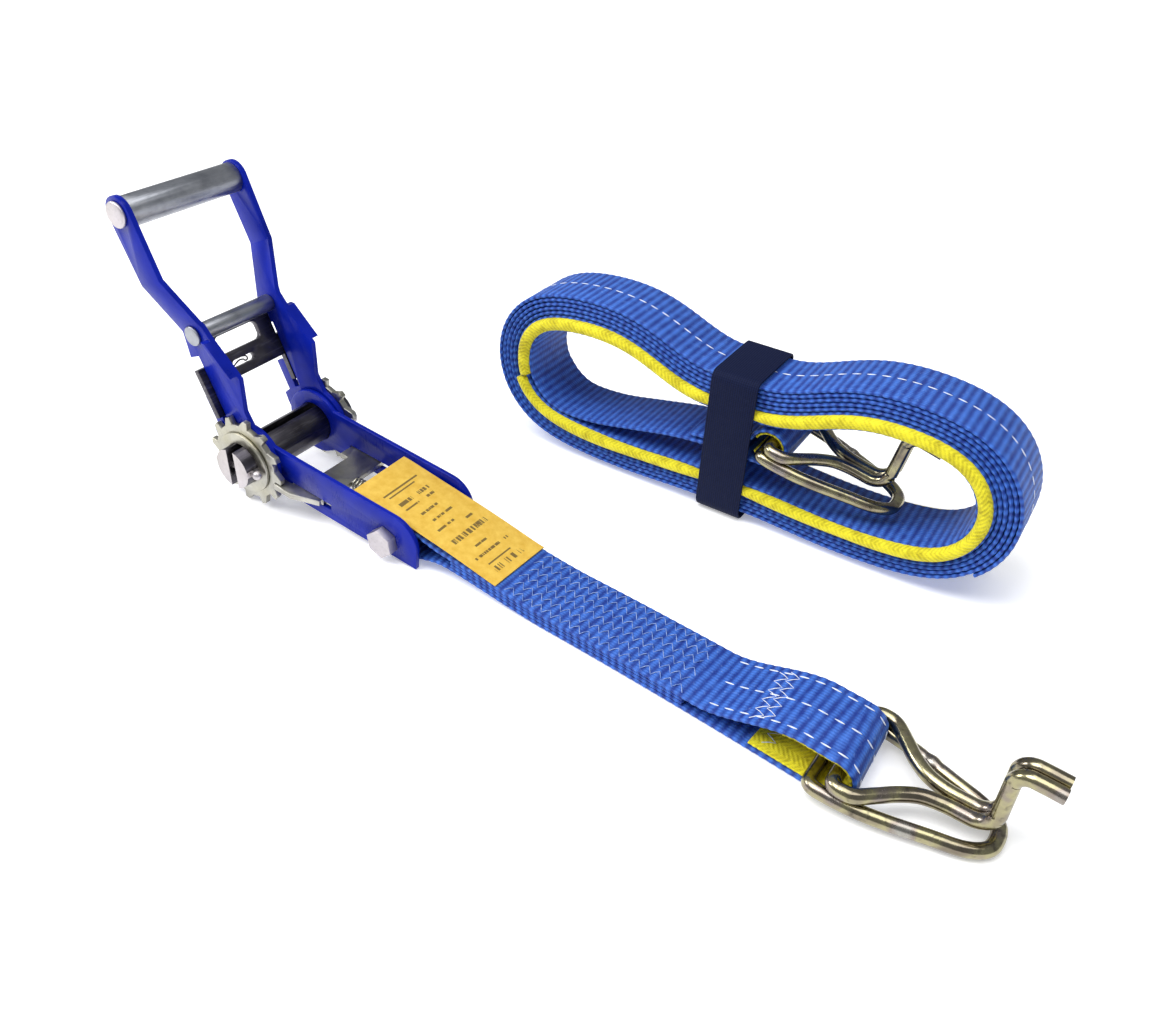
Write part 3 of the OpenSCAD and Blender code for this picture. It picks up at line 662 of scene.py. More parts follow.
def webbing(name, path, up=None, closed=False, look="webbing", **changes):
    """One length of webbing or flat cloth along a path in millimetres."""
    s = bpy.context.scene.tiedown_webbing
    values = {"Width": s.width, "Thickness": s.ply, "Rib pitch": s.rib_pitch, "Rib rise": s.rib_rise,
              "Stations per rib": 6.0, "Edge steps": 3,
              "Material": finish(look) if isinstance(look, str) else look}
    values.update(changes)
    up = normals_of(path, closed=closed) if up is None else up
    return grown(name, "webbing", [(path, up, None)], values, closed)


def wire(name, paths, radius, look, sides=24, closed=False):
    """Round wire along one or more paths, each (points, None, girth or None)."""
    return grown(name, "wire", paths, {"Radius": radius, "Sides": sides, "Material": finish(look)}, closed)


# ---------------------------------------------------------------- hard parts
def eased(node, name, look, width=None):
    """A merged copy of a CAD part with rounded edges."""
    width = width or bpy.context.scene.tiedown_metal.ease
    mesh = frame["nodes"][node].data.copy()
    bm = bmesh.new()
    bm.from_mesh(mesh)
    bmesh.ops.remove_doubles(bm, verts=bm.verts, dist=2e-6)
    bmesh.ops.dissolve_degenerate(bm, edges=bm.edges, dist=2e-6)
    bmesh.ops.dissolve_limit(bm, angle_limit=math.radians(0.6), verts=bm.verts, edges=bm.edges)
    bm.to_mesh(mesh)
    bm.free()
    obj = link(name, mesh)
    mesh.materials.clear()
    mesh.materials.append(finish(look))
    mesh.polygons.foreach_set("use_smooth", [True] * len(mesh.polygons))
    edge = obj.modifiers.new("edge", "BEVEL")
    edge.width, edge.segments, edge.limit_method = width, 2, "ANGLE"
    edge.angle_limit = math.radians(32)
    edge.use_clamp_overlap = True
    edge.harden_normals = True
    return baked(obj)


def hard_parts(rows, body):
    """Eased copies of like parts: rows of (CAD node, piece, finish, slot, edge width)."""
    for node, name, look, slot, width in rows:
        settle(eased(node, name, look, width), body, slot, node)


def local(tilt_deg, foot=(0.0, 0.0, 0.0)):
    """Turn about Y and move, as a function on rows of points in millimetres."""
    a = math.radians(tilt_deg)
    turn = np.array([[math.cos(a), 0, -math.sin(a)], [0, 1, 0], [math.sin(a), 0, math.cos(a)]])
    return lambda p: np.asarray(p, float) @ turn + np.asarray(foot)


SPOOL_Z = SPINDLE.z / MM
FRAME_TILT = 6.5
HANDLE_TILT = FRAME_TILT - 119.5
in_frame = local(FRAME_TILT, (0, 0, SPOOL_Z))
in_handle = local(HANDLE_TILT, (0, 0, SPOOL_Z))


def helix(start, end, radius, turns, axis, steps=20):
    """A coil about the local X or Y axis from start to end, with its ends drawn in."""
    t = np.linspace(0, 1, int(turns * steps) + 1)
    a = 2 * math.pi * turns * t
    along = start + (end - start) * t
    if axis == "X":
        return np.stack([along, radius * np.cos(a), radius * np.sin(a)], 1)
    return np.stack([radius * np.cos(a), along, radius * np.sin(a)], 1)


# ---------------------------------------------------------------- hooks and keepers
WIRE_R = 3.0
HOOK_RISE = 32.0
BAR_HALF = 19.4


def hook_half(sink):
    """One wire of the double hook, from the middle of its base bar to its tip."""
    w, g = BAR_HALF, WIRE_R + 0.15
    lead = through([[0, w, 0], [0.9, w + 1.7, 0], [4, w + 2.6, 0], [9, w + 1.6, -0.1 * sink],
                    [15, 15.6, 0.2 - 0.35 * sink], [21, 9.8, 0.5 - 0.65 * sink], [28, 5.2, 0.9 - 0.9 * sink],
                    [36, g + 0.2, 1 - sink], [44, g, 1 - sink]], 6)
    a = np.radians(np.linspace(0, 90, 15))
    foot = np.stack([45 + 8.5 * np.sin(a), 0 * a + g, 1 - sink + 8.5 * (1 - np.cos(a))], 1)
    top = HOOK_RISE - sink
    crook = np.stack([53 + 5.5 * (1 - np.cos(a)), 0 * a + g, top - 5.5 + 5.5 * np.sin(a)], 1)
    tip = np.array([[64, g, top - 0.15], [69, g, top - 0.4]])
    half = np.concatenate([lead, foot, crook, tip])
    base = np.stack([0 * np.arange(8.0), np.linspace(0, w - 2.4, 8), 0 * np.arange(8.0)], 1)
    return np.concatenate([base, half[1:]])


def hook_line(sink):
    """Both wires of the hook in one line, rounded where the base bar turns."""
    half = hook_half(sink)
    other = half[:0:-1] * np.array([1, -1, 1])
    return spaced(through(np.concatenate([other, half]), 2), 0.9)


def keeper_line():
    """The closed ring of the keeper and the girth along it, with a weld bead on its far run."""
    w, nose = 18.8, 11.5
    half = [[0, w, 0], [0.8, w + 2, 0], [4.6, w + 3, 0], [18, w + 2.2, 0], [30, w - 0.2, 0], [44, w - 4, 0],
            [56, nose, 0], [63, nose - 5, 0]]
    back = [[x, -y, z] for x, y, z in reversed(half)]
    base = [[0, y, 0] for y in np.linspace(-w, w, 9)[1:-1]]
    loop = through(half + [[64.6, 0, 0]] + back + base + [half[0]], 8)
    ring = spaced(loop, 0.9)[:-1]
    weld = np.linalg.norm(ring - np.array([34.0, 17.6, 0]), axis=1)
    girth = 1 + 0.14 * np.exp(-(weld / 1.9) ** 2) - 0.05 * np.exp(-((weld - 3.1) / 0.8) ** 2)
    return ring, girth


def swing(points, joint, dip, yaw):
    """Hook or keeper points moved to their hinge, in millimetres from the foot of the spindle axis."""
    a, b = math.radians(dip), math.radians(yaw)
    down = np.array([[math.cos(a), 0, math.sin(a)], [0, 1, 0], [-math.sin(a), 0, math.cos(a)]])
    round_z = np.array([[math.cos(b), -math.sin(b), 0], [math.sin(b), math.cos(b), 0], [0, 0, 1]])
    place = (Vector(JOINTS[joint]["pos_m"]) - Vector((SPINDLE.x, SPINDLE.y, 0))) / MM
    return points @ (round_z @ down).T + np.array(place)


def make_hook(name, node, body, joint, dip, yaw, sink):
    """A double wire hook."""
    line = swing(hook_line(sink), joint, dip, yaw)
    s = bpy.context.scene.tiedown_metal
    settle(wire(name, [(line, None, None)], s.wire, "wire", s.sides), body, "hook_wire", node)


def make_keeper(name, node, body, joint, dip, yaw):
    """A wire keeper ring."""
    ring, girth = keeper_line()
    s = bpy.context.scene.tiedown_metal
    line = swing(ring, joint, dip, yaw)
    settle(wire(name, [(line, None, girth)], s.wire, "wire", s.sides, True), body, "hook_wire", node)


# ---------------------------------------------------------------- the short strap's paths
PLY = 1.9
END_X = 308.0
RE = 9.6
END_Z = RE + PLY / 2
BOLT_X = 84.6 * math.cos(math.radians(FRAME_TILT)) - 4 * math.sin(math.radians(FRAME_TILT))
BOLT_Z = SPOOL_Z - 84.6 * math.sin(math.radians(FRAME_TILT)) - 4 * math.cos(math.radians(FRAME_TILT))
RA = 8.25 + PLY / 2
PAD_CLOTH = {"Thickness": 0.0011, "Rib rise": 0.00014, "Rib pitch": 0.0026}
PLAIN_CLOTH = {"Rib rise": 0.0, "Rib pitch": 0.006}


def pad_radius(bend):
    """Radius of a pad's middle line inside a bend of the webbing."""
    return bend - PLY / 2 - 0.9


def drift(x):
    """How far the strap wanders towards the front."""
    return -16 * np.clip((np.asarray(x, float) - 110) / 200, 0, None) ** 1.5


def strap_mid(x):
    return BOLT_Z + (PLY / 2 + 3 - BOLT_Z) * ease_step(98, 175, x)


def strap_half(x):
    return RA + (3 - RA) * ease_step(84, 116, x)


def strap_top(x):
    return strap_mid(x) + strap_half(x) + (2 * RE - 6) * ease_step(248, 296, x)


def strap_low(x):
    return strap_mid(x) - strap_half(x)


def level(x, z):
    """Path points over stations x at heights z, on the strap's drift."""
    return np.stack([x, drift(x), z], 1)


def belt_path():
    """The short strap's closed run: over the top, round the hooks, back and round the bolt."""
    x = np.arange(BOLT_X, END_X, 1.0)
    far = arc((END_X, END_Z), RE, 90, -90, 40)
    near = arc((BOLT_X, BOLT_Z), RA, 270, 90, 40)[1:-1]
    back = np.arange(END_X - 1, BOLT_X, -1.0)
    parts = [level(x, strap_top(x)), np.stack([far[:, 0], 0 * far[:, 0] + drift(END_X), far[:, 1]], 1),
             level(back, strap_low(back)), np.stack([near[:, 0], 0 * near[:, 0], near[:, 1]], 1)]
    return np.concatenate(parts)


# ---------------------------------------------------------------- the hank's paths
HANK_X, HANK_Y = 194.0, 120.5
HANK_LEN, HANK_H, TURNS, PITCH, PINCH = 278.0, 96.0, 7, 2.25, 18.0
B_OUT, B_STEP = -21.0, 4.5
B_LAST = B_OUT + 360 * (TURNS - 1)
B_SLEEVE0, B_SLEEVE1, B_END = B_LAST - 360 + 47 * B_STEP, B_LAST - 360 + 127 * B_STEP, B_LAST + 128 * B_STEP
LOOP = (215.0, 46.0)
LOOP_R = 9.4


def warp(b):
    """Winding angle for an even station angle, degrees."""
    return b + 25.2 * np.sin(np.radians(2 * b))


A_OUT, A_SLEEVE0 = warp(B_OUT), warp(B_SLEEVE0)


def hank_outline(a):
    """Outside of the hank at winding angle a, two columns from its middle."""
    r, a = HANK_H / 2, np.radians(a)
    k = 4.2 * np.cos(a)
    x = (HANK_LEN / 2 - r) * k / np.sqrt(1 + k * k) * math.sqrt(18.64) / 4.2 + r * np.cos(a)
    press = np.exp(-(np.clip(np.abs(x - 1) - 11, 0, None) / 37) ** 2)
    z = np.sin(a) * r * np.where(np.sin(a) > 0, 1 - PINCH / r * press, 1 - 3 / r * press)
    return np.stack([x, z], -1)


def wound(a):
    """How far in from the outline the webbing lies at winding angle a."""
    d = PLY / 2 + PITCH * np.clip(a - A_OUT, 0, None) / 360
    for before, after in ((-50, -6), (300, 345), (650, 700)):
        d = d + 1.15 * ease_step(A_SLEEVE0 + before, A_SLEEVE0 + after, a)
    return d


def coil_points(b0, b1, step=0.75):
    """The webbing's middle line between two station angles, in millimetres."""
    a = warp(np.arange(b0, b1 + step / 2, step))
    t = unit(hank_outline(a + 0.5) - hank_outline(a - 0.5))
    inward = np.stack([-t[:, 1], t[:, 0]], 1)
    p = hank_outline(a) + inward * wound(a)[:, None]
    return np.stack([HANK_X + p[:, 0], 0 * a + HANK_Y, HANK_H / 2 + p[:, 1]], 1)


RUN_IN = [[87.2, 28.9], [98, 24.6], [118, 25.2], [142, 30], [166, 34.8], [190, 37], [204, 36.9]]
RUN_BACK = [[198, 44.6], [188, 41], [174, 39.2]]


def last_run():
    """Off the coil, along the inside and round the loop that holds the stowed hook."""
    ends = coil_points(B_END - B_STEP, B_END, B_STEP)[:, [0, 2]]
    joined = np.concatenate([ends, RUN_IN])
    run = through(joined, 16)[16:-16]
    ring = arc(LOOP, LOOP_R, -90, 165, 60)
    back = through(np.concatenate([ring[-8::7], RUN_BACK]), 10)[10:]
    flat = np.concatenate([run, ring, back[1:]])
    return np.stack([flat[:, 0], 0 * flat[:, 0] + HANK_Y, flat[:, 1]], 1)


# ---------------------------------------------------------------- cloth made directly
def sleeve_section(swell):
    """Outer and inner outline of the flat sleeve; its edges swell out beyond the webbing."""
    half, thick, bore, corner = 17.4, 2.05, 1.2, 0.4
    rho = thick + swell
    lobe = np.radians(np.linspace(90, 270, 9))
    left = np.stack([-half + rho * np.cos(lobe), rho * np.sin(lobe)], 1)
    top = np.stack([np.linspace(half - 2.5, -half + 2.5, 5), np.full(5, thick)], 1)
    outer = np.concatenate([top, left, -top, -left])
    inner_top = np.stack([np.linspace(half - 2.5, -half + 2.5, 5), np.full(5, bore)], 1)
    inner_left = np.stack([-half + corner * np.cos(lobe), bore * np.sin(lobe)], 1)
    inner = np.concatenate([inner_top, inner_left, -inner_top, -inner_left])
    return outer, inner


def sleeve_rings(path, s):
    """Outer and inner ring of the sleeve at every station, and the number of points in a ring."""
    n = normals_of(path)
    rng = np.random.default_rng(7)
    wave = sum(rng.uniform(0.2, 0.5) * np.sin(s / rng.uniform(5, 16) + rng.uniform(0, 6)) for _ in range(5))
    calm = 1 - np.exp(-((path[:, 0] - HANK_X - 1) / 17) ** 2)
    rings = []
    for i, p in enumerate(path):
        for loop in sleeve_section(calm[i] * (1.35 + 0.30 * wave[i])):
            rings.append(p + loop[:, :1] * ACROSS + loop[:, 1:] * n[i])
    return row(np.concatenate(rings)), len(rings[0])


def sleeve_faces(s, count):
    """Faces of the sleeve's outer and inner wall and of its two rims, each with its corners on the map."""
    faces, charts = [], []
    outline = sleeve_section(1.3)[0]
    perimeter = length_along(np.vstack([outline, outline[:1]]))
    last = len(s) - 1
    for i in range(last):
        a, b = 2 * count * i, 2 * count * (i + 1)
        for j in range(count):
            k = (j + 1) % count
            faces += [(a + j, a + k, b + k, b + j),
                      (a + count + k, a + count + j, b + count + j, b + count + k)]
            u0, u1, v0, v1 = perimeter[j], perimeter[j + 1], s[i], s[i + 1]
            charts += [(u0, v0), (u1, v0), (u1, v1), (u0, v1), (u1, v0), (u0, v0), (u0, v1), (u1, v1)]
    for base, flip in ((0, True), (2 * count * last, False)):
        for j in range(count):
            k = (j + 1) % count
            quad = (base + j, base + k, base + count + k, base + count + j)
            faces.append(quad[::-1] if flip else quad)
            charts += [(perimeter[j], 0)] * 4
    return faces, charts


def make_sleeve_mesh(path):
    """A flat woven tube round the webbing, open at both ends, as a mesh with a map in millimetres."""
    s = length_along(path)
    points, count = sleeve_rings(path, s)
    faces, charts = sleeve_faces(s, count)
    mesh = bpy.data.meshes.new("hank_wear_sleeve")
    mesh.from_pydata([tuple(p) for p in points], [], faces)
    mesh.uv_layers.new(name="UVMap").data.foreach_set("uv", np.array(charts, float).ravel())
    mesh.polygons.foreach_set("use_smooth", [True] * len(faces))
    mesh.materials.append(finish("wear"))
    turned_outwards(mesh)
    return link("hank_wear_sleeve", mesh)


def band_path():
    """Closed run of the elastic band round the hank, in a plane square to its length."""
    half, low, high, big, small = 20.25, 0.65, 78.8, 6.0, 3.6
    corners = ((half, high, small, 0), (-half, high, small, 90), (-half, low, big, 180),
               (half, low, big, 270))
    points = []
    for y, z, r, start in corners:
        cy, cz = y - math.copysign(r, y), z - (r if z > 40 else -r)
        a = np.radians(np.linspace(start, start + 90, 12))
        points += [[HANK_X + 1, HANK_Y + cy + r * math.cos(t), cz + r * math.sin(t)] for t in a]
    path = np.array(points)
    return spaced(np.vstack([path, path[:1]]), 0.9)[:-1]


def zigzag(stations, place, swing_mm):
    """Thread that steps from side to side: dips into the cloth at each turn, stands proud between."""
    out = []
    for i, t in enumerate(stations):
        side = swing_mm if i % 2 else -swing_mm
        out.append(place(t, side, -0.12))
        if i < len(stations) - 1:
            out.append(place((t + stations[i + 1]) / 2, 0.0, 0.24))
    return np.array(out)


def on_strap(x, y, rise):
    """A point on top of the short strap."""
    return [x, float(drift(x)) + y, float(strap_top(x)) + PLY / 2 + rise]


# ---------------------------------------------------------------- operators: metal
class PieceOperator:
    """Shared settings of the operators."""
    bl_options = {"REGISTER", "UNDO"}


class TIEDOWN_OT_frame(PieceOperator, bpy.types.Operator):
    """Frame plates, spring seat, strap bolt and locking pawl with eased edges"""
    bl_idname = "tiedown.frame"
    bl_label = "Frame"

    def execute(self, context):
        hard_parts((
            ("frame_plate_left", "frame_side_left", "paint", "frame_paint", 0.0005),
            ("frame_plate_right", "frame_side_right", "paint", "frame_paint", 0.0005),
            ("spring_seat", "spring_wall", "dark", "dark_steel", 0.0003),
            ("anchor_bolt", "strap_bolt", "pale_zinc", "zinc_steel", 0.0006),
            ("anchor_nut", "strap_nut", "zinc", "zinc_steel", 0.0005),
            ("anchor_sleeve", "strap_roller", "zinc", "zinc_steel", 0.0003)), "frame")
        hard_parts((("frame_pawl", "locking_pawl", "zinc", "zinc_steel", 0.0004),), "frame_pawl")
        return {"FINISHED"}


class TIEDOWN_OT_handle(PieceOperator, bpy.types.Operator):
    """Handle plates, grip, cross bar, rivets and drive pawl with eased edges"""
    bl_idname = "tiedown.handle"
    bl_label = "Handle"

    def execute(self, context):
        hard_parts((
            ("handle_plate_left", "handle_side_left", "paint", "frame_paint", 0.0005),
            ("handle_plate_right", "handle_side_right", "paint", "frame_paint", 0.0005),
            ("grip_tube", "grip", "grip", "grip_steel", 0.0004),
            ("grip_rivet", "grip_rivets", "pale_zinc", "zinc_steel", 0.0007),
            ("middle_bar", "cross_bar", "grip", "grip_steel", 0.0005)), "handle")
        hard_parts((("drive_pawl", "drive_plate", "dark", "dark_steel", 0.0004),), "drive_pawl")
        return {"FINISHED"}


SAWN_END = 0.030


class TIEDOWN_OT_spool(PieceOperator, bpy.types.Operator):
    """Split spindle, toothed wheels, washers and cotters with eased edges"""
    bl_idname = "tiedown.spool"
    bl_label = "Spool"

    def execute(self, context):
        hard_parts((
            ("spindle_front", "spindle_half_front", "dark", "dark_steel", 0.0006),
            ("spindle_back", "spindle_half_back", "dark", "dark_steel", 0.0006),
            ("wheel_left", "tooth_wheel_left", "zinc", "zinc_steel", 0.0003),
            ("wheel_right", "tooth_wheel_right", "zinc", "zinc_steel", 0.0003),
            ("washers", "spindle_washers", "zinc", "zinc_steel", 0.0003),
            ("cotter_pins", "spindle_cotters", "pale_zinc", "zinc_steel", 0.0004)), "spool")
        for name in ("spindle_half_front", "spindle_half_back"):
            self.cut_ends(bpy.data.objects[name].data)
        return {"FINISHED"}

    def cut_ends(self, mesh):
        """Bare sawn metal on the two ends of a spindle half."""
        mesh.materials.append(finish("pale_zinc"))
        for face in mesh.polygons:
            if abs(face.center.y - SPINDLE.y) > SAWN_END:
                face.material_index = len(mesh.materials) - 1


class TIEDOWN_OT_springs(PieceOperator, bpy.types.Operator):
    """Coil springs of both pawls, with the leg and eye of the drive pawl's spring"""
    bl_idname = "tiedown.springs"
    bl_label = "Springs"

    def execute(self, context):
        coil = in_frame(helix(45.9, 59.1, 3.2, 7, "X") + np.array([0, 0, -4.7]))
        spring = wire("locking_pawl_coil", [(coil, None, None)], 0.0005, "zinc", 10)
        settle(spring, "frame", "zinc_steel", "frame_pawl_spring")
        seat = Vector(row(in_frame([[59.4, 0, -4.7]]))[0])
        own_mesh(spring)
        behind_strip = helix(50, 66, 2.2, 9, "X") + np.array([0, -17, 10.4])
        leg = through([[50, -15.0, 9.4], [47.5, -8, 8.6], [45.0, -1.0, 8.3], [43.9, 2.2, 8.2],
                       [42.4, 2.4, 8.2], [42.0, 0.9, 8.2], [43.0, 0.1, 8.3], [43.2, -3, 8.5],
                       [40, -9.5, 8.5], [36.6, -13.4, 8.2], [34.4, -14.4, 8.0], [33.6, -12.6, 8.0],
                       [35.4, -11.2, 8.2]], 8)
        paths = [(in_handle(behind_strip), None, None), (in_handle(leg), None, None)]
        coil = wire("drive_pawl_coil", paths, 0.00040, "dark", 10)
        settle(coil, "handle", "zinc_steel", "drive_pawl_spring")
        return {"FINISHED"}


class TIEDOWN_OT_hooks(PieceOperator, bpy.types.Operator):
    """Double wire hooks and their keepers"""
    bl_idname = "tiedown.hooks"
    bl_label = "Hooks and keepers"

    def execute(self, context):
        make_hook("strap_hook", "hook", "hook", "hook_swing", 1.2, -2, 2.6)
        make_keeper("strap_keeper", "keeper", "keeper", "keeper_swing", 3.2, -2)
        make_hook("stowed_hook", "hank_hook", "hank_hook", "hank_hook_swing", 12, 0, 0)
        make_keeper("stowed_keeper", "hank_keeper", "hank_keeper", "hank_keeper_swing", 12, 0)
        return {"FINISHED"}


class TIEDOWN_OT_short_strap(PieceOperator, bpy.types.Operator):
    """Short strap: sewn belt round bolt and hooks, inner plies and the yellow pad"""
    bl_idname = "tiedown.short_strap"
    bl_label = "Short strap"

    def execute(self, context):
        s = context.scene.tiedown_webbing
        path = belt_path()
        belt = webbing("strap_belt", path, closed=True)
        settle(belt, "frame", "webbing", "short_strap")
        x = np.arange(119, 246.5, 1.5)
        runs = [level(x, strap_mid(x) + k * 1.02) for k in (-1, 1)]
        for run, name in zip(runs, ("strap_ply_low", "strap_ply_high")):
            ply = webbing(name, run, Width=s.width - 0.0006, **{"Rib rise": 0.0001})
            settle(ply, "frame", "webbing", "short_strap_plies")
        r = pad_radius(RE)
        ahead = np.arange(276, END_X, 1.5)
        low = level(ahead, np.full(len(ahead), END_Z - r))
        bend = arc((END_X, END_Z), r, -90, 90, 24)
        back = np.arange(END_X - 1.5, 288, -1.5)
        pad_path = np.concatenate([low, np.stack([bend[:, 0], 0 * bend[:, 0] + drift(END_X), bend[:, 1]], 1),
                                   level(back, strap_top(back) - (RE - r))])
        pad = webbing("strap_end_pad", pad_path, look="wear", Width=s.width - 0.002, **PAD_CLOTH)
        settle(pad, "frame", "wear_cloth", "short_strap_pad")
        return {"FINISHED"}


class TIEDOWN_OT_label(PieceOperator, bpy.types.Operator):
    """Sewn label with generic rows of bars"""
    bl_idname = "tiedown.label"
    bl_label = "Label"

    def execute(self, context):
        x = np.arange(62, 146.2, 1.2)
        z = np.maximum(strap_top(x) + PLY / 2 + 0.42, 27 - (x - 62) * 0.2)
        z = np.convolve(np.pad(z, 4, mode="edge"), np.ones(9) / 9, mode="valid")
        z = np.maximum(z, strap_top(x) + PLY / 2 + 0.36)
        path = level(x, z)
        width = 0.0354
        look = make_label(float(length_along(path)[-1]), width / MM)
        label = webbing("strap_label", path, look=look, Width=width, Thickness=0.0006,
                        **PLAIN_CLOTH)
        settle(label, "frame", "label_cloth", "rating_label")
        return {"FINISHED"}


class TIEDOWN_OT_hank(PieceOperator, bpy.types.Operator):
    """Long strap wound into the hank: outer turn, middle turns and the inner run"""
    bl_idname = "tiedown.hank"
    bl_label = "Hank"

    def execute(self, context):
        first, last = B_OUT + 372, B_SLEEVE1 - 2 * B_STEP
        outer = coil_points(B_OUT, first)
        middle = coil_points(first, last)
        inner = np.concatenate([coil_points(last, B_END)[:-1], last_run()])
        fine = {"Stations per rib": 6.0, "Edge steps": 3}
        coarse = {"Stations per rib": 4.0, "Edge steps": 1}
        for name, path, steps in (("hank_outer_turn", outer, fine), ("hank_middle_turns", middle, coarse),
                                  ("hank_inner_run", inner, fine)):
            piece = webbing(name, path, **steps)
            settle(piece, "hank", "webbing", "hank_webbing")
        return {"FINISHED"}


class TIEDOWN_OT_sleeve(PieceOperator, bpy.types.Operator):
    """Yellow wear sleeve, one turn outside the last, and the pad in the stowed hook's loop"""
    bl_idname = "tiedown.sleeve"
    bl_label = "Wear sleeve"

    def execute(self, context):
        path = spaced(coil_points(B_SLEEVE0, B_SLEEVE1 - 0.4 * B_STEP), 1.3)
        sleeve = make_sleeve_mesh(path)
        settle(sleeve, "hank", "wear_cloth", "hank_sleeve")
        ring = arc(LOOP, pad_radius(LOOP_R), -150, 150, 60)
        path = np.stack([ring[:, 0], 0 * ring[:, 0] + HANK_Y, ring[:, 1]], 1)
        pad = webbing("stowed_loop_pad", path, look="wear", Width=0.033, **PAD_CLOTH)
        settle(pad, "hank", "wear_cloth", "hank_loop_pad")
        return {"FINISHED"}


class TIEDOWN_OT_band(PieceOperator, bpy.types.Operator):
    """Navy elastic band round the hank"""
    bl_idname = "tiedown.band"
    bl_label = "Elastic band"

    def execute(self, context):
        path = band_path()
        up = normals_of(path, np.array([1.0, 0, 0]), True)
        band = webbing("hank_band", path, up, True, "elastic", Width=0.024, Thickness=0.0013,
                       **PLAIN_CLOTH)
        settle(band, "hank", "elastic", "elastic_band")
        return {"FINISHED"}


class TIEDOWN_OT_stitches(PieceOperator, bpy.types.Operator):
    """Zigzag sewing and white tracer dashes of both straps"""
    bl_idname = "tiedown.stitches"
    bl_label = "Stitches"

    def execute(self, context):
        s = context.scene.tiedown_stitch
        step = s.zigzag / MM / 2
        rows = []
        for k, y in enumerate((-14.2, -8.5, -2.9, 2.9, 8.5, 14.2)):
            x = np.arange(149.0 + (k % 2) * step * 0.5, 243, step)
            rows.append((zigzag(x, lambda t, side, rise, y=y: on_strap(t, y + side, rise), 1.9), None, None))
        sewn = wire("strap_zigzag", rows, s.thread, "pale_thread", 6)
        settle(sewn, "frame", "webbing")
        cross = []
        for x0, phase in ((274.6, 0.0), (278.8, 1.4)):
            y = np.arange(-15.4 + phase, 15.6, 2.9)
            cross.append((zigzag(y, lambda t, side, rise, x0=x0: on_strap(x0 + side, t, rise), 2.4),
                          None, None))
        pad_z = END_Z - pad_radius(RE) + 0.55
        y = np.arange(-13.0, 13.5, 2.7)
        cross.append((zigzag(y, lambda t, side, rise: [281 + side, float(drift(281)) + t, pad_z + rise], 2.4),
                      None, None))
        settle(wire("strap_end_zigzag", cross, s.thread * 0.9, "white_thread", 6), "frame", "webbing")
        self.tracers(s)
        return {"FINISHED"}

    def tracers(self, s):
        """White dashes woven into the webbing's middle and edges."""
        belt = belt_path()
        out = normals_of(belt, closed=True)
        bend_points, proud = 38, PLY / 2 + 0.02
        stop = int(np.argmax(belt[:, 0] >= END_X - 0.5)) + bend_points
        keep = (np.arange(len(belt)) < stop) & (belt[:, 0] > 256)
        values = {"Pitch": s.tracer, "Length": 0.0046, "Width": 0.0008, "Material": finish("white_thread")}
        rows = [(belt[keep] + out[keep] * proud + ACROSS * y, out[keep], None) for y in (-13.8, 0, 13.8)]
        settle(grown("strap_tracer", "dash", rows, values), "frame", "webbing")
        turn = coil_points(B_OUT + 6, B_OUT + 330)
        inward = normals_of(turn)
        rows = [(turn - inward * proud, -inward, None)]
        settle(grown("hank_tracer", "dash", rows, values), "hank", "webbing")


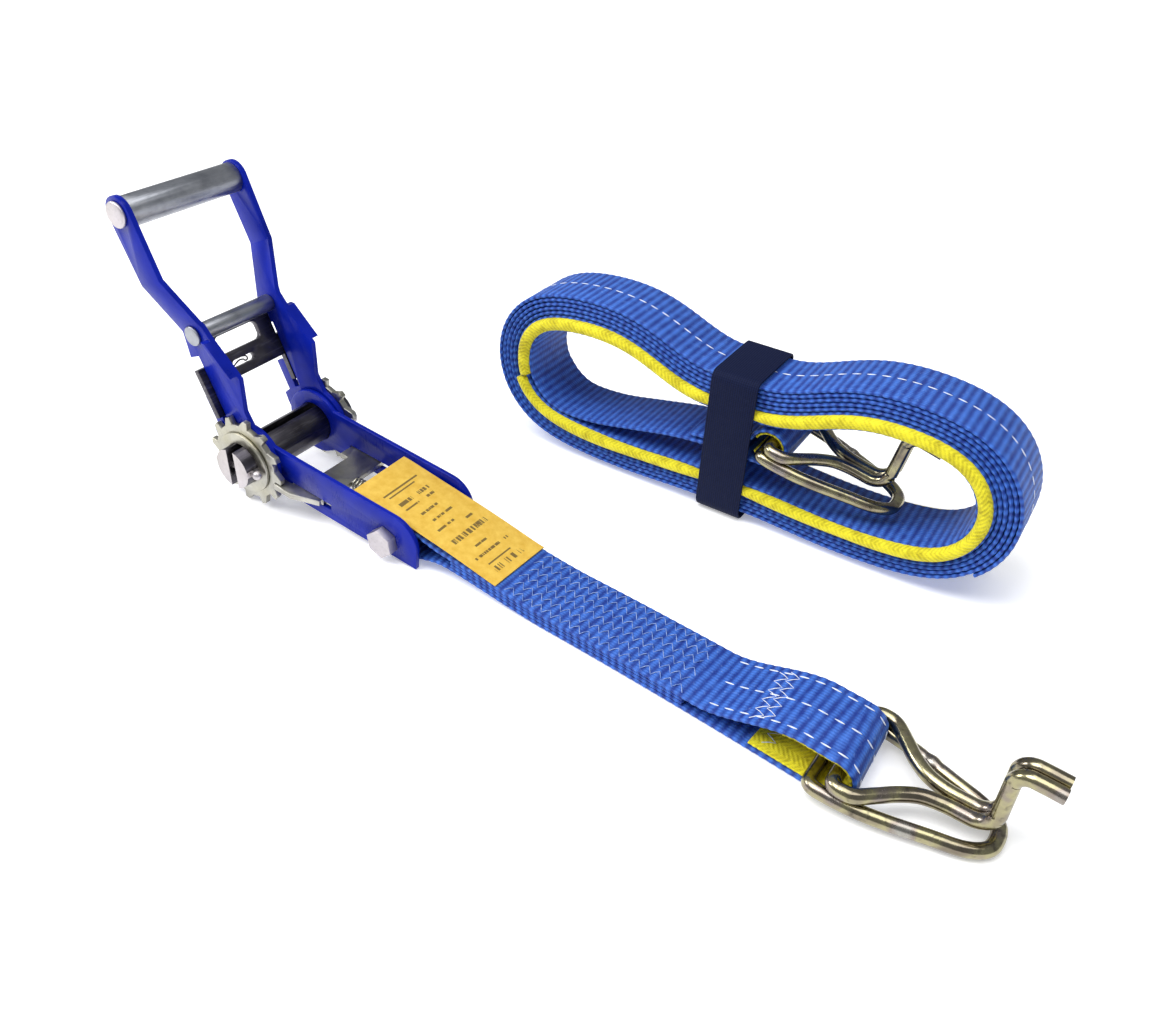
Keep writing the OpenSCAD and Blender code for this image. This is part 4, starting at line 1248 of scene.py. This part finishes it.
class TIEDOWN_OT_stage(PieceOperator, bpy.types.Operator):
    """Pale floor, soft light and the camera"""
    bl_idname = "tiedown.stage"
    bl_label = "Stage"

    def execute(self, context):
        s = context.scene.tiedown_stage
        mesh = bpy.data.meshes.new("studio_floor")
        bm = bmesh.new()
        bmesh.ops.create_grid(bm, x_segments=8, y_segments=8, size=4.0)
        bmesh.ops.translate(bm, verts=bm.verts, vec=(0, 0, CAD_BOX[0][2] - 0.0002))
        bm.to_mesh(mesh)
        bm.free()
        mesh.materials.append(finish("floor"))
        link("studio_floor", mesh)
        self.lights(s.key)
        self.camera()
        return {"FINISHED"}

    def lights(self, key):
        """A wide soft key, a soft box overhead, a strip for the metal and an even surround."""
        sun = bpy.data.lights.new("key", "SUN")
        sun.energy, sun.angle = key, math.radians(34)
        self.aim(sun, (-0.5, -0.6, 1.4), (0, 0, 0))
        for name, place, size, energy in (("soft_box", (0.25, -0.15, 1.1), 0.8, 6.0),
                                          ("strip", (-0.9, -0.5, 0.6), 0.35, 5.0)):
            area = bpy.data.lights.new(name, "AREA")
            area.size, area.energy = size, energy
            self.aim(area, place, (0, 0, 0.03))
        world = bpy.data.worlds.new("surround")
        world.use_nodes = True
        world.node_tree.nodes["Background"].inputs["Color"].default_value = (0.93, 0.96, 1.0, 1)
        world.node_tree.nodes["Background"].inputs["Strength"].default_value = 0.34
        bpy.context.scene.world = world
        bpy.context.scene.view_settings.view_transform = "Standard"

    def aim(self, light, place, target):
        """Puts a lamp in place, facing the target."""
        lamp = link(light.name, light)
        lamp.location = place
        lamp.rotation_euler = (Vector(target) - Vector(place)).to_track_quat("-Z", "Y").to_euler()

    def camera(self):
        """The camera at its fitted place, right, up and view directions as columns."""
        data = bpy.data.cameras.new("camera")
        data.lens, data.sensor_width, data.clip_start = 31.145, 36.0, 0.01
        eye = link("camera", data)
        right = Vector((0.83867757, 0.54301278, 0.04191725))
        up = Vector((-0.35003401, 0.47845744, 0.80532892))
        back = Vector((0.41724828, -0.69008377, 0.59134446))
        turn = Matrix((right, up, back)).transposed().to_4x4()
        turn.translation = (0.18827448, -0.33928933, 0.30582306)
        eye.matrix_world = turn
        bpy.context.scene.camera = eye


STEPS = (TIEDOWN_OT_stage, TIEDOWN_OT_frame, TIEDOWN_OT_handle, TIEDOWN_OT_spool, TIEDOWN_OT_springs,
         TIEDOWN_OT_hooks, TIEDOWN_OT_short_strap, TIEDOWN_OT_label, TIEDOWN_OT_hank, TIEDOWN_OT_sleeve,
         TIEDOWN_OT_band, TIEDOWN_OT_stitches)
GROUPS = {"tiedown_webbing": TieDownWebbing, "tiedown_metal": TieDownMetal, "tiedown_stitch": TieDownStitch,
          "tiedown_stage": TieDownStage}


class TIEDOWN_PT_panel(bpy.types.Panel):
    """Lists the pieces of the tie down"""
    bl_label = "Tie down"
    bl_idname = "TIEDOWN_PT_panel"
    bl_space_type = "VIEW_3D"
    bl_region_type = "UI"
    bl_category = "Tie down"

    def draw(self, context):
        for key, group in GROUPS.items():
            box = self.layout.box()
            for name in group.__annotations__:
                box.prop(getattr(context.scene, key), name)
        for step in STEPS:
            self.layout.operator(step.bl_idname)


def register():
    for cls in (*GROUPS.values(), *STEPS, TIEDOWN_PT_panel):
        bpy.utils.register_class(cls)
    for key, group in GROUPS.items():
        setattr(bpy.types.Scene, key, PointerProperty(type=group))


def unregister():
    for key in GROUPS:
        delattr(bpy.types.Scene, key)
    for cls in reversed((*GROUPS.values(), *STEPS, TIEDOWN_PT_panel)):
        bpy.utils.unregister_class(cls)


def main():
    """Builds every piece in order."""
    register()
    for step in STEPS:
        group, name = step.bl_idname.split(".")
        getattr(getattr(bpy.ops, group), name)()


if __name__ == "__main__":
    main()
